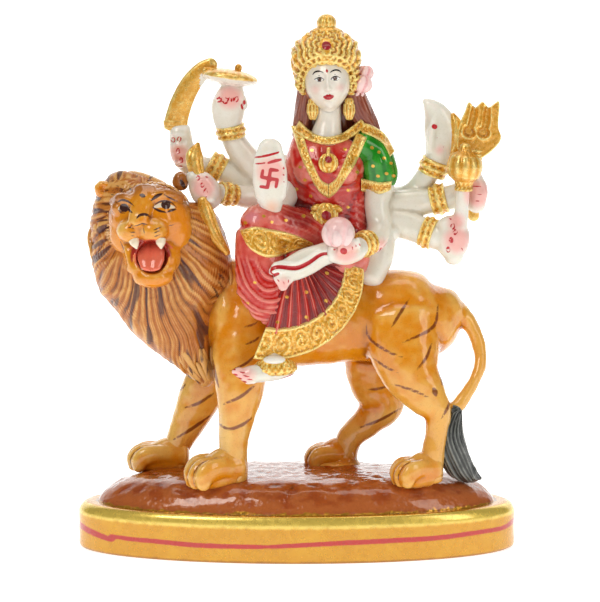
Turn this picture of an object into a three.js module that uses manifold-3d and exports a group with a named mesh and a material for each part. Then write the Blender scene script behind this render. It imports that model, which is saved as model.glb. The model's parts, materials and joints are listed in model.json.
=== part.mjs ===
import * as THREE from 'three';
import { mergeVertices } from 'three/addons/utils/BufferGeometryUtils.js';
import Module from 'manifold-3d';

// A cast resin statuette: the goddess Durga with eight arms, seated on a lion that stands on an
// oval plinth. Plinth, mound, lion and goddess are one casting.
// Z is up, X runs along the plinth with the lion's head at the negative end, and the goddess
// faces negative Y. The origin is the middle of the plinth's underside.

// Driving dimensions, in millimetres
const FIGURE_HEIGHT = 171; // from the ground under the paws to the tip of the crown
const RIM_HEIGHT = 17.5; // the plinth's gold rim
const RIM_EDGE_RADIUS = 4; // rounded upper edge of the rim
const RIM_FOOT_RADIUS = 1.5; // softened lower edge of the rim
const LEDGE_WIDTH = 8; // from the rim's outside to the foot of the mound, at the plinth's ends
const MOUND_HEIGHT = 11.5; // ground that rises above the rim
const END_MARGIN = 17.5; // plinth beyond the lion's stance at each end
const SIDE_MARGIN = 9; // plinth beyond the lion's stance on each side
const MOUND_FLATNESS = 6; // the higher, the flatter the mound's top and the steeper its foot
const MOUND_RINGS = [1, 0.95, 0.86, 0.7, 0]; // where the mound's profile is drawn, from its foot inwards
const PLINTH_SIDES = 36; // facets round the plinth
const PAW_SINK = 3; // how deep the paws are set in the mound
const FINEST_CARVING = 0.42; // detail finer than this is smoothed away

// The stance is the lion's footprint, as shares of the figure's height
const STANCE_HALF_LENGTH = 0.38 * FIGURE_HEIGHT;
const STANCE_HALF_WIDTH = 0.14 * FIGURE_HEIGHT;
const PLINTH_HALF_LENGTH = STANCE_HALF_LENGTH + END_MARGIN;
const PLINTH_HALF_WIDTH = STANCE_HALF_WIDTH + SIDE_MARGIN;
const GROUND = RIM_HEIGHT + MOUND_HEIGHT;

// The carving is laid out in hundredths of the figure's height, from the ground under the paws.
// In a list of stations each entry is [x, y, z, half width seen from the front, half depth].
const SHARE = FIGURE_HEIGHT / 100;
const SOLE = -PAW_SINK / SHARE;
const FRONT = new THREE.Vector3(0, -1, 0);
const UP = new THREE.Vector3(0, 0, 1);

const SLIVER_AREA = 1e-3; // square millimetres, doubled, under which a face is only a join's sliver

// Facets round and down an egg shape
const EVEN = { around: 8, down: 6 };
const SMALL = { around: 5, down: 4 };

const COLOURS = { resin: 0xd9a63a };

const wasm = await Module();
wasm.setup();

// Geometry helpers

function place([x, y, z]) {
  return new THREE.Vector3(x * SHARE, y * SHARE, GROUND + z * SHARE);
}

function geometryFrom(points, triangles) {
  const geometry = new THREE.BufferGeometry();
  const positions = points.flatMap((point) => point.toArray());
  geometry.setAttribute('position', new THREE.Float32BufferAttribute(positions, 3));
  geometry.setIndex(triangles.flat());
  return geometry;
}

function solid(geometry) {
  geometry.deleteAttribute('normal');
  geometry.deleteAttribute('uv');
  const merged = mergeVertices(geometry);
  const index = merged.index.array;
  const triangles = [];
  for (let i = 0; i < index.length; i += 3) {
    const [a, b, c] = [index[i], index[i + 1], index[i + 2]];
    if (a !== b && b !== c && c !== a) triangles.push(a, b, c);
  }
  const mesh = new wasm.Mesh({
    numProp: 3,
    vertProperties: new Float32Array(merged.attributes.position.array),
    triVerts: new Uint32Array(triangles),
  });
  return new wasm.Manifold(mesh);
}

function join(solids) {
  let level = solids;
  while (level.length > 1) {
    const pairs = [];
    for (let i = 0; i < level.length; i += 2) {
      pairs.push(i + 1 < level.length ? level[i].add(level[i + 1]) : level[i]);
    }
    level = pairs;
  }
  return level[0];
}

// Where carved forms run into each other their joins leave slivers far finer than the carving.
// Each vertex whose removal moves no face by more than the tolerance is drawn onto a neighbour,
// and the surface stays closed because the two share exactly two neighbours before they meet.
const THINNING_PASSES = [0.05, 0.3, 1, 1]; // shares of the tolerance, the least noticeable first
const COST_OF_LENGTH = 0.02; // movement counted for each millimetre that a vertex is drawn
const SHARPEST_TURN = 0.5; // cosine of the most that a face may turn

function thinned(geometry, tolerance) {
  const { position } = geometry.attributes;
  const points = [];
  for (let i = 0; i < position.count; i++) {
    points.push(new THREE.Vector3().fromBufferAttribute(position, i));
  }
  const faces = [];
  const around = points.map(() => new Set());
  for (let i = 0; i < geometry.index.count; i += 3) {
    const face = [0, 1, 2].map((corner) => geometry.index.getX(i + corner));
    face.forEach((corner) => around[corner].add(faces.length));
    faces.push(face);
  }
  const neighbours = (vertex) => new Set([...around[vertex]].flatMap((face) => faces[face]));
  const normalOf = (face) => {
    const [a, b, c] = face.map((corner) => points[corner]);
    return b.clone().sub(a).cross(c.clone().sub(a));
  };
  // How far the surface moves when one vertex is drawn onto another, or Infinity if a face flips
  const movement = (from, to) => {
    const step = points[to].clone().sub(points[from]);
    let furthest = 0;
    for (const index of around[from]) {
      const before = normalOf(faces[index]);
      const size = before.length();
      if (size > 0) furthest = Math.max(furthest, Math.abs(before.dot(step)) / size);
      if (faces[index].includes(to)) continue;
      const after = normalOf(faces[index].map((corner) => (corner === from ? to : corner)));
      const turn = before.dot(after) / (size * after.length() || Infinity);
      if (size > SLIVER_AREA && turn < SHARPEST_TURN) return Infinity;
      if (after.length() < SLIVER_AREA) return Infinity;
    }
    return furthest + COST_OF_LENGTH * step.length();
  };
  const draw = (from, to) => {
    for (const index of around[from]) {
      if (faces[index].includes(to)) {
        faces[index].forEach((corner) => around[corner].delete(index));
        faces[index] = null;
      } else {
        faces[index] = faces[index].map((corner) => (corner === from ? to : corner));
        around[to].add(index);
      }
    }
    around[from].clear();
  };
  for (const share of THINNING_PASSES) {
    for (let from = 0; from < points.length; from++) {
      if (around[from].size === 0) continue;
      const ring = neighbours(from);
      ring.delete(from);
      let best = { move: share * tolerance };
      for (const to of ring) {
        const shared = [...neighbours(to)].filter((vertex) => vertex !== to && ring.has(vertex));
        if (shared.length !== 2) continue;
        const move = movement(from, to);
        if (move < best.move) best = { move, to };
      }
      if (best.to !== undefined) draw(from, best.to);
    }
  }
  return mergeVertices(geometryFrom(points, faces.filter(Boolean)));
}

// The cross-section of a limb at a share of its length: its middle, the way it runs, and the two
// half-axes of its oval, one seen from the front and one towards the given face.
function section(stations, share, face) {
  const path = new THREE.CatmullRomCurve3(stations.map(place), false, 'centripetal');
  const girths = stations.map(([, , , wide, deep = wide]) => new THREE.Vector3(wide, deep, 0));
  const girth = new THREE.CatmullRomCurve3(girths, false, 'centripetal').getPoint(share);
  const along = path.getTangent(share);
  const deep = face.clone().addScaledVector(along, -face.dot(along)).normalize();
  const wide = along.clone().cross(deep);
  return {
    middle: path.getPoint(share),
    along,
    wide: wide.multiplyScalar(girth.x * SHARE),
    deep: deep.multiplyScalar(girth.y * SHARE),
  };
}

function onSection({ middle, wide, deep }, angle, swell = 1) {
  return middle.clone()
    .addScaledVector(wide, Math.cos(angle) * swell)
    .addScaledVector(deep, Math.sin(angle) * swell);
}

// A limb is an oval carried along a smooth path through its stations. Each end is rounded by its
// tip, as a share of the end's own half width.
const TIP_RING = { reach: 0.62, girth: 0.78 }; // the one ring between a limb's end and its tip

function limb(stations, { sides = 6, steps = 1, face = FRONT, tips = [0, 0] } = {}) {
  const count = (stations.length - 1) * steps;
  const rings = [];
  for (let i = 0; i <= count; i++) rings.push({ ...section(stations, i / count, face), swell: 1 });
  const first = rings[0];
  const last = rings[count];
  const reach = [first.wide.length() * tips[0], last.wide.length() * tips[1]];
  const ends = [
    first.middle.clone().addScaledVector(first.along, -reach[0]),
    last.middle.clone().addScaledVector(last.along, reach[1]),
  ];
  if (tips[0] > 0) {
    const middle = first.middle.clone().addScaledVector(first.along, -TIP_RING.reach * reach[0]);
    rings.unshift({ ...first, middle, swell: TIP_RING.girth });
  }
  if (tips[1] > 0) {
    const middle = last.middle.clone().addScaledVector(last.along, TIP_RING.reach * reach[1]);
    rings.push({ ...last, middle, swell: TIP_RING.girth });
  }
  const points = [];
  for (const ring of rings) {
    for (let s = 0; s < sides; s++) points.push(onSection(ring, (2 * Math.PI * s) / sides, ring.swell));
  }
  const firstEnd = points.push(ends[0]) - 1;
  const lastEnd = points.push(ends[1]) - 1;
  const top = (rings.length - 1) * sides;
  const triangles = [];
  for (let s = 0; s < sides; s++) {
    const next = (s + 1) % sides;
    for (let low = 0; low < top; low += sides) {
      const high = low + sides;
      triangles.push([low + s, high + s, high + next], [low + s, high + next, low + next]);
    }
    triangles.push([firstEnd, s, next], [lastEnd, top + next, top + s]);
  }
  return solid(geometryFrom(points, triangles));
}

// An egg shape with its half axes along X, Y and Z, turned about Y and then about Z, in degrees
function ball(middle, [x, y, z], { around = 6, down = 5, roll = 0, turn = 0 } = {}) {
  const geometry = new THREE.SphereGeometry(SHARE, around, down).rotateX(Math.PI / 2).scale(x, y, z);
  geometry.rotateY(THREE.MathUtils.degToRad(roll)).rotateZ(THREE.MathUtils.degToRad(turn));
  return solid(geometry.translate(...place(middle).toArray()));
}

// A band or bracelet: a short sleeve round a limb, thicker in its middle
function band(from, to, radius, depth = radius) {
  const middle = from.map((value, i) => (value + to[i]) / 2);
  return limb([[...from, radius * 0.88, depth * 0.88], [...middle, radius, depth],
    [...to, radius * 0.88, depth * 0.88]], { sides: 7 });
}

// A closed slab between two surfaces over the same grid, both given as functions of the share
// across and the share up
function slab(front, back, columns, rows) {
  const points = [];
  for (const surface of [front, back]) {
    for (let row = 0; row <= rows; row++) {
      for (let column = 0; column <= columns; column++) {
        points.push(place(surface(column / columns, row / rows)));
      }
    }
  }
  const far = points.length / 2;
  const at = (column, row) => row * (columns + 1) + column;
  const triangles = [];
  const quad = (a, b, c, d) => triangles.push([a, b, c], [a, c, d]);
  for (let row = 0; row < rows; row++) {
    for (let column = 0; column < columns; column++) {
      const [a, b] = [at(column, row), at(column + 1, row)];
      const [c, d] = [at(column + 1, row + 1), at(column, row + 1)];
      quad(a, b, c, d);
      quad(far + a, far + d, far + c, far + b);
    }
    quad(at(0, row), at(0, row + 1), far + at(0, row + 1), far + at(0, row));
    quad(at(columns, row), far + at(columns, row), far + at(columns, row + 1), at(columns, row + 1));
  }
  for (let column = 0; column < columns; column++) {
    quad(at(column, 0), far + at(column, 0), far + at(column + 1, 0), at(column + 1, 0));
    quad(at(column, rows), at(column + 1, rows), far + at(column + 1, rows), far + at(column, rows));
  }
  return solid(geometryFrom(points, triangles));
}

// A row of fingers or toes: each starts between two ends and bends through the given steps
function digits(first, last, count, bends, radius) {
  const row = [];
  for (let i = 0; i < count; i++) {
    const base = first.map((value, axis) => value + (last[axis] - value) * (i / (count - 1)));
    const joints = bends.map((bend, j) => {
      const tip = base.map((value, axis) => value + bend[axis]);
      return [...tip, radius * (1 - 0.12 * (j + 1))];
    });
    row.push(limb([[...base, radius], ...joints], { sides: 5 }));
  }
  return row;
}

// Plinth and mound: a turned profile, drawn out to an oval

function plinth() {
  const outside = PLINTH_HALF_LENGTH;
  const moundFoot = outside - LEDGE_WIDTH;
  const profile = [new THREE.Vector2(0, 0), new THREE.Vector2(outside - RIM_FOOT_RADIUS, 0)];
  profile.push(new THREE.Vector2(outside, 2 * RIM_FOOT_RADIUS));
  const edgeSteps = 2;
  for (let i = 0; i <= edgeSteps; i++) {
    const angle = (Math.PI / 2) * (i / edgeSteps);
    profile.push(new THREE.Vector2(
      outside - RIM_EDGE_RADIUS * (1 - Math.cos(angle)),
      RIM_HEIGHT - RIM_EDGE_RADIUS * (1 - Math.sin(angle)),
    ));
  }
  // The mound is steep at its foot and almost flat where the paws stand
  for (const share of MOUND_RINGS) {
    const rise = MOUND_HEIGHT * Math.sqrt(1 - share ** MOUND_FLATNESS);
    profile.push(new THREE.Vector2(moundFoot * share, RIM_HEIGHT + rise));
  }
  const geometry = new THREE.LatheGeometry(profile, PLINTH_SIDES).rotateX(Math.PI / 2);
  return solid(geometry.scale(1, PLINTH_HALF_WIDTH / PLINTH_HALF_LENGTH, 1));
}

// Lion

const LION_BODY = [
  [-16, -0.8, 33, 10.2, 8.4], // chest
  [-3.6, -0.5, 32.4, 9.6, 8.2],
  [5, 0, 33, 9.6, 7.8], // belly
  [14, 0, 34, 9.8, 7.8],
  [23, 0, 34, 10.4, 8.6], // loins
  [30.2, 0, 34.6, 8.6, 7.4],
  [34.2, 0, 36.2, 4.4, 4.4], // root of the tail
];

function lionBody() {
  return [
    limb(LION_BODY, { sides: 12, tips: [0, 0.5] }),
    ball([32.2, -1.8, 30.6], [1.8, 1.8, 2.2]),
    limb([[-12, 2, 44, 7, 6], [-14, 0, 36, 9, 7.5], [-13, -2, 27, 6, 6.5]], { sides: 8 }),
  ];
}

// A paw: a pad under the wrist and four toes that fan out round the way it points
function paw([x, y, z], heading, { length = 7.6, width = 6.4, height = 3.6 } = {}) {
  const angle = THREE.MathUtils.degToRad(heading);
  const ahead = [Math.cos(angle), Math.sin(angle)];
  const aside = [-Math.sin(angle), Math.cos(angle)];
  const spot = (along, across, up) => [
    x + ahead[0] * along + aside[0] * across,
    y + ahead[1] * along + aside[1] * across,
    up,
  ];
  const middle = (z + SOLE) / 2;
  const pad = limb([
    [...spot(-length * 0.2, 0, middle + 0.6), height * 0.8, width * 0.42],
    [...spot(length * 0.2, 0, middle + 0.4), height * 0.85, width * 0.48],
    [...spot(length * 0.55, 0, middle), height * 0.75, width * 0.46],
  ], { face: new THREE.Vector3(aside[0], aside[1], 0), sides: 8 });
  const toes = [-1.5, -0.5, 0.5, 1.5].map((rank, i) => {
    const forward = length * (i === 0 || i === 3 ? 0.62 : 0.8);
    const middleOfToe = spot(forward, rank * width * 0.27, height * 0.4);
    return ball(middleOfToe, [length * 0.28, width * 0.19, height * 0.9], { turn: heading });
  });
  return [pad, ...toes];
}

function lionLegs() {
  const nearFore = [
    [-10.5, -4, 35, 7.5, 5.2], // shoulder
    [-12, -7.2, 25, 6.4, 5],
    [-12.3, -8.6, 18.4, 5.2, 4.4],
    [-13.1, -8.8, 12.2, 3.8, 3.6],
    [-13.7, -8.8, 7, 3.2, 3.2],
    [-13.7, -8.8, SOLE, 3.3, 3.2],
  ];
  const farFore = [
    [-14, 4, 32, 7, 5.2],
    [-17, 6.6, 23.5, 5.8, 4.8],
    [-21.4, 7.8, 14.9, 4.9, 4.2],
    [-24.2, 8.2, 8.7, 3.8, 3.6],
    [-26.6, 8.2, 3.6, 3, 3.1],
    [-27, 8.2, SOLE, 3, 3],
  ];
  const nearHind = [
    [22.5, -3.4, 34.5, 9.2, 6.4], // haunch
    [23.4, -5.6, 27.9, 8, 5.6],
    [24.9, -7.2, 22.5, 6.4, 4.8],
    [28.2, -8, 17.6, 4.7, 3.8],
    [30.6, -8.2, 14, 3, 3], // hock
    [30.4, -8.2, 9.6, 2.5, 2.6],
    [29.4, -8.2, 4, 2.7, 2.8],
    [29.2, -8.2, SOLE, 2.7, 2.8],
  ];
  const farHind = [
    [20, 4.4, 32, 8.6, 6],
    [17, 6.4, 23, 6.6, 5],
    [17.6, 7.4, 17.8, 5.7, 4.2],
    [19.2, 8, 13.4, 4.9, 3.6], // hock
    [15.6, 8.2, 9, 3.5, 3.2],
    [11.8, 8.2, 5.4, 3, 3],
    [10, 8.2, SOLE, 3, 3],
  ];
  return [
    ...[nearFore, farFore, nearHind, farHind].map((stations) => limb(stations, { sides: 8 })),
    ...paw([-14.4, -9, 6], 205, { length: 8, width: 7.6, height: 3.7 }),
    ...paw([-27, 8, 5], 187, { length: 8, width: 7 }),
    ...paw([28.6, -8.6, 5], 205, { length: 6.4 }),
    ...paw([10.4, 8.2, 5.4], 183, { length: 7 }),
    ball([8, 8.2, -1.2], [7, 5, 2.2]),
  ];
}

const TAIL = [
  [31.5, 0, 39, 2.6],
  [36.2, 0, 34.6, 1.8],
  [38.7, -0.6, 30.9, 1.5],
  [40.2, -1.7, 26, 1.3],
  [39.9, -2.9, 22.9, 1.3],
  [37.7, -4.7, 18.8, 1.3],
  [35, -6.2, 15.1, 1.7],
];
const TUFT = [
  [34.4, -6.4, 14.5, 1.8, 1.8],
  [33.4, -6.8, 9.9, 2.7, 2.4],
  [33.9, -6.6, 5.7, 3.1, 2.6],
  [35.6, -5.6, 1.6, 3, 2.5],
  [38.2, -4.4, -0.8, 1.9, 1.9],
  [40.2, -3.8, -1.6, 0.5, 0.6],
];

// Locks of hair laid over a limb, in staggered tiers, each running down and round it
function locks(stations, tiers, { length, twist, width, lift, skip = () => false }) {
  const shaggy = [];
  tiers.forEach(([start, count], tier) => {
    for (let i = 0; i < count; i++) {
      const angle = (2 * Math.PI * (i + 0.5 * (tier % 2))) / count;
      if (skip(start, angle)) continue;
      const stationsOfLock = [[0, 0.9, 1], [0.45, 1 + lift, 0.85], [1, 1 + 0.4 * lift, 0.25]].map(
        ([share, swell, girth]) => {
          const ring = section(stations, Math.min(1, start + share * length), FRONT);
          const point = onSection(ring, angle + share * twist, swell);
          const local = [point.x / SHARE, point.y / SHARE, (point.z - GROUND) / SHARE];
          return [...local, width * girth, width * girth];
        },
      );
      shaggy.push(limb(stationsOfLock, { sides: 4 }));
    }
  });
  return shaggy;
}

function lionTail() {
  return [
    limb(TAIL, { sides: 6, steps: 2 }),
    limb(TUFT, { sides: 7, tips: [0, 0.8] }),
    ...locks(TUFT, [[0.3, 4], [0.52, 4]], { length: 0.42, twist: 0.25, width: 1, lift: 0.08 }),
  ];
}

const MANE = [
  [-31.4, 0, 62.4, 7.6, 6.4],
  [-31.8, -1, 60.2, 10.2, 8.4],
  [-31.4, -1.6, 56.4, 12.2, 9.8],
  [-29.8, -2.2, 50, 13.4, 10.8],
  [-27.8, -2.6, 42.8, 13.2, 10.8],
  [-25.8, -2.9, 34.8, 9.4, 9],
  [-23.2, -3.2, 27, 5.2, 6],
  [-19.8, -3.6, 20.6, 1.8, 2.4],
];

function lionMane() {
  const underFace = (start, angle) => start < 0.45 && Math.sin(angle) > 0.45;
  return [
    limb(MANE, { sides: 12, tips: [0.3, 0.8] }),
    ...locks(MANE, [[0.1, 10], [0.3, 12], [0.5, 11], [0.68, 7]], {
      length: 0.26, twist: 0.16, width: 2.1, lift: -0.02, skip: underFace,
    }),
  ];
}

function lionHead() {
  const mouth = ball([-30.4, -18.4, 49], [4.3, 6.8, 4.2], { ...EVEN, roll: -12 });
  const head = join([
    ball([-31.4, -8, 56.2], [9, 8.6, 8.2], { around: 12, down: 8 }),
    ball([-30.8, -10.6, 48.6], [6.6, 6.4, 5.6], { around: 10, down: 7 }), // jaw
    ball([-30.4, -13.8, 44.4], [3.9, 3.2, 2.4], EVEN), // chin
    ball([-34.5, -15, 54.6], [3.5, 3.4, 2.9], EVEN), // muzzle pads
    ball([-29.7, -15, 54.9], [3.5, 3.4, 2.9], EVEN),
    ball([-37.4, -10.2, 53.6], [3.8, 4.6, 4.8], EVEN), // cheeks
    ball([-25, -10, 54], [3.8, 4.6, 4.8], EVEN),
    ball([-36.4, -12.8, 60.8], [3.4, 2.4, 1.7], { ...EVEN, roll: 16 }), // brows
    ball([-27.6, -12.8, 61.6], [3.6, 2.4, 1.7], { ...EVEN, roll: -14 }),
    limb([
      [-32, -14.2, 61.5, 2.4, 1.8],
      [-32.2, -16.2, 58.6, 2, 1.6],
      [-32.3, -17, 56.8, 1.8, 1.4],
    ], { face: UP }),
  ]);
  const ears = [[-41.2, -2.4, 61.8], [-23.4, -1.6, 64]].map((middle) => {
    const hollow = [middle[0], middle[1] - 2.6, middle[2]];
    return ball(middle, [2.9, 2.6, 2.8], EVEN).subtract(ball(hollow, [1.8, 1.6, 1.8], EVEN));
  });
  const canines = [-34, -28.8].map((x) => limb([
    [x, -16.4, 53.6, 0.9],
    [x + 0.3, -16.7, 51.2, 0.2],
  ], { sides: 5 }));
  const tongue = limb([
    [-30.8, -10.5, 50.5, 2.2, 1],
    [-31, -14, 48.8, 2.3, 0.9],
    [-30.8, -15.8, 46.6, 1.8, 0.8],
  ], { face: UP });
  return [head.subtract(mouth), ...ears, ...canines, tongue];
}

// Goddess

const TORSO = [
  [7, 1.4, 42, 8.5, 6.4],
  [6.4, 1, 48.7, 9, 6.4],
  [6.2, 0.6, 53.1, 7.6, 5.6],
  [6.4, 0, 57.1, 6.3, 4.7], // waist
  [6.4, -0.4, 62.4, 7.6, 5.1],
  [6.4, -0.6, 67, 8.6, 5.2],
  [6.6, 0, 71, 8, 4.4], // shoulders
  [6.8, 0.4, 73.8, 4, 2.8],
];

function torso() {
  const garland = [
    [[-0.4, -2.6, 75], [1.2, -5, 70.4], [4, -6.2, 62.6], [6.6, -6, 59.8]],
    [[14.2, -2.4, 74.4], [11.6, -5, 68.6], [8.8, -6.2, 63], [6.6, -6, 59.8]],
  ];
  return [
    limb(TORSO, { sides: 10 }),
    ball([2.9, -3.4, 66.2], [3.4, 2.9, 3.2]),
    ball([10, -3.4, 66.1], [3.4, 2.9, 3.2]),
    limb([
      [6.4, 0, 71, 3, 2.8],
      [6.4, -0.4, 75.5, 2.7, 2.5],
      [6.4, -0.4, 80, 2.5, 2.5],
    ], { sides: 8 }),
    ...garland.map((run) => limb(run.map((point) => [...point, 1.2, 0.9]), { sides: 5 })),
    ball([6.8, -5.4, 68.4], [1.9, 1.2, 2]), // pendant
    ball([6.4, -1, 73], [4.4, 3.4, 1.3]), // collar
    band([6.3, 0.2, 54.6], [6.3, 0.2, 57.2], 7.4, 5.8), // belt
    ball([6.3, -5.9, 56.5], [1.3, 0.8, 1.4]),
    ball([3.6, -5.8, 55], [1.9, 1, 1.9]),
  ];
}

function head() {
  const middle = [6.3, -1, 84.2];
  const crownStations = [
    [6.4, 2.6, 84.8, 5.6, 4.4],
    [6.4, 1, 88.6, 6.9, 5.8],
    [6.4, 0.6, 91.4, 7, 6],
    [6.4, 0.6, 94.4, 5.4, 4.8],
    [6.4, 0.6, 96.6, 2.2, 2.2],
  ];
  const petals = [];
  const petalCount = 9;
  for (let i = 0; i < petalCount; i++) {
    const angle = Math.PI * (i / (petalCount - 1));
    const foot = [6.4 + 5.8 * Math.cos(angle), 0.4 - 5.4 * Math.sin(angle)];
    const rise = 84.8 + 3.4 * Math.sin(angle);
    const lean = 1.2 * Math.cos(angle);
    petals.push(limb([
      [...foot, rise, 1.2, 0.8],
      [foot[0] + lean, foot[1], rise + 3.2, 1.4, 0.8],
      [foot[0] + 0.5 * lean, foot[1], rise + 6.2, 0.4, 0.5],
    ], { sides: 4 }));
  }
  const face = [
    ball(middle, [4.6, 5, 6], { around: 10, down: 8 }),
    ball([6.3, -5.7, 83.6], [0.7, 1, 1.3], SMALL), // nose
    ball([6.3, -5.1, 81.3], [1.2, 0.9, 0.6], SMALL), // lips
    ball([6.3, -4.4, 79.3], [1.5, 1.3, 1.2], SMALL), // chin
  ];
  return [
    ...face,
    ball([6.4, 1.4, 85.4], [5.9, 5, 5.8], EVEN), // hair round the skull
    limb(crownStations, { sides: 10 }),
    ball([6.4, 0.6, 98.1], [2, 2, 1.9]), // knob
    ...petals,
    ball([6.4, -5.4, 92.2], [1.9, 1.2, 2.4]), // crest with its gem
    ball([2.9, -0.6, 79.6], [1.2, 2.2, 2], SMALL), // ear drops
    ball([11.5, -0.6, 79.6], [1.3, 2.2, 2.1], SMALL),
    ball([14, 0.2, 84.8], [1.8, 1.6, 2.1], { around: 6, down: 4 }), // flower in the hair
    ball([14.6, 1.2, 87.6], [1.5, 1.4, 1.5], SMALL),
  ];
}

function hair() {
  return [
    limb([
      [2.4, 1.6, 87, 1.8, 2.4],
      [1.6, 2.2, 80.5, 2.1, 2.4],
      [0.4, 3, 75, 1.8, 2],
      [-0.8, 3.4, 71.6, 0.9],
    ]),
    limb([
      [11, 1.6, 87, 2, 2.4],
      [13, 2.2, 80.5, 2.5, 2.4],
      [15.4, 3, 75.6, 1.9, 2],
      [17.4, 3.2, 72, 0.9],
    ]),
    limb([
      [6.4, 3.4, 88, 5, 3],
      [6.4, 4.4, 79, 7, 3],
      [6.6, 5, 71, 8, 2.8],
      [6.8, 5.6, 62, 6.6, 2.4],
      [6.8, 6, 54, 4, 2],
      [6.8, 6, 49, 1.4, 1.2],
    ], { sides: 8 }),
  ];
}

// Arms are named by what they hold

function discusArm() {
  const discus = new THREE.LatheGeometry([
    new THREE.Vector2(0, -1.6), new THREE.Vector2(3.4, -1.3), new THREE.Vector2(5.6, -0.6),
    new THREE.Vector2(6, 0.1), new THREE.Vector2(5.2, 0.8), new THREE.Vector2(0, 0.9),
  ].map((point) => point.multiplyScalar(SHARE)), 14);
  discus.rotateX(Math.PI / 2).rotateX(-0.14).rotateY(0.12);
  discus.translate(...place([-14.5, 2.3, 86.2]).toArray());
  return [
    limb([
      [-1.6, 4, 65.6, 3.7, 3],
      [-7, 4.5, 64.8, 3.6, 3],
      [-11, 4.2, 68.2, 3, 2.8],
      [-14, 3.6, 73, 2.5, 2.4],
      [-14.7, 3, 76, 2.2, 2.2],
    ]),
    band([-14.2, 3.4, 73.6], [-14.8, 3, 76.6], 3),
    limb([
      [-14.8, 2.9, 76, 2.2, 2],
      [-14.8, 2.4, 79.4, 3.3, 2.2],
      [-14.7, 2.2, 82, 3, 2.2],
      [-13.9, 2.3, 85.4, 1.9],
    ]),
    solid(discus),
    ball([-12.6, 2.3, 87.4], [0.8, 0.8, 1], SMALL),
  ];
}

function swordArm() {
  return [
    limb([
      [-1.6, 4.4, 62.4, 3.4, 2.8],
      [-9.6, 4.6, 62.2, 3.2, 2.8],
      [-15, 4.7, 65, 2.7, 2.6],
      [-18.8, 4.7, 66.8, 2.4, 2.3],
    ]),
    band([-16.6, 4.7, 65.8], [-19.2, 4.7, 67.2], 3.1),
    limb([
      [-19.6, 4.7, 66.8, 2.2],
      [-22.6, 4.7, 67.6, 2.7, 2.4],
      [-25, 4.7, 70.6, 2.8, 2.4],
      [-25.6, 4.5, 75.2, 2.4, 2],
    ]),
    ...digits([-26, 3.4, 68.8], [-26, 3.4, 73.6], 4, [[0.2, -1.2, 0], [1.4, -1.6, 0]], 0.8),
    limb([
      [-25.6, 4.3, 74.4, 2.5, 1.3],
      [-24.6, 3.9, 80.2, 2.2, 1.1],
      [-22.6, 3.7, 84.8, 2, 1.1],
      [-19.9, 3.5, 88, 1.7, 1],
      [-17.6, 3.3, 88.9, 1.2, 0.9],
    ]),
  ];
}

function bowArm() {
  return [
    limb([
      [-1.6, 3.4, 59.6, 3.1, 2.8],
      [-8.8, 2.4, 59.9, 2.8, 2.6],
      [-14.4, -0.6, 60.9, 2.1, 2.2],
      [-17.4, -2.8, 61.6, 1.9, 2],
    ]),
    ball([-11.6, 0.6, 59.4], [3.2, 2.6, 2.2]),
    band([-13.6, -0.2, 60.7], [-16.4, -2, 61.4], 2.5),
    ball([-20, -4.4, 61.8], [3.1, 2.6, 3], { around: 7, down: 5 }),
    ...digits([-21.6, -6, 64], [-19, -6.6, 59.8], 4, [[0.8, -0.9, 0.1], [2, -0.7, 0.2]], 0.8),
    limb([
      [-21.2, -3.4, 72.2, 0.5],
      [-22, -4.2, 69.4, 1.7, 1.2],
      [-21.4, -4.8, 66, 1.5, 1.2],
      [-20.4, -5.4, 62, 1.2],
      [-19.4, -6.6, 57.6, 1.6, 1.1],
      [-17.4, -7.8, 52.8, 1.4, 1],
      [-14.6, -8.4, 48.8, 0.7],
    ], { tips: [0.6, 0.6] }),
  ];
}

function blessingArm() {
  return [
    limb([
      [-0.4, 1.2, 71.2, 3.4, 3],
      [-1.4, 0.4, 66, 3.3, 3],
      [-2.4, -2.2, 60.6, 2.8, 2.7],
      [-3.6, -7, 58.4, 2.2, 2.2],
      [-5, -10.8, 58.4, 2],
    ]),
    limb([
      [-5, -11.4, 58, 2.4, 1.3],
      [-5.6, -12.4, 62, 3.3, 1.4],
      [-5.7, -13, 67, 3.5, 1.3],
      [-5.4, -13.4, 71.4, 2.8, 1.1],
      [-5.3, -13.4, 73, 1.8, 0.9],
    ]),
    limb([[-3.4, -12.2, 62.6, 1.2], [-2.4, -12.6, 66, 1], [-2.4, -12.8, 68.4, 0.8]]),
  ];
}

function conchArm() {
  return [
    limb([
      [17, 2.4, 60, 3.6, 3.2],
      [22, 4, 58.8, 3.3, 3],
      [25.6, 4.4, 60.4, 2.8, 2.6],
      [28, 4.1, 63.6, 2.5, 2.4],
      [29.8, 3.5, 67, 2.3, 2.3],
    ]),
    band([28.6, 3.9, 64.8], [30, 3.5, 68], 2.9),
    limb([
      [30.2, 3.2, 68.4, 2.8, 2.3],
      [31.2, 3, 73, 3.4, 2.4],
      [31.4, 3, 76.4, 3.6, 2.3],
      [29.8, 3, 79, 2.6, 1.8],
      [27.7, 3, 81.2, 0.5, 0.5],
    ], { tips: [0.5, 0.5] }),
    limb([[33.8, 2.2, 70.6, 1.3], [34.6, 2.2, 74, 1.5], [34.2, 2.2, 77, 1.1]]),
  ];
}

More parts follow.
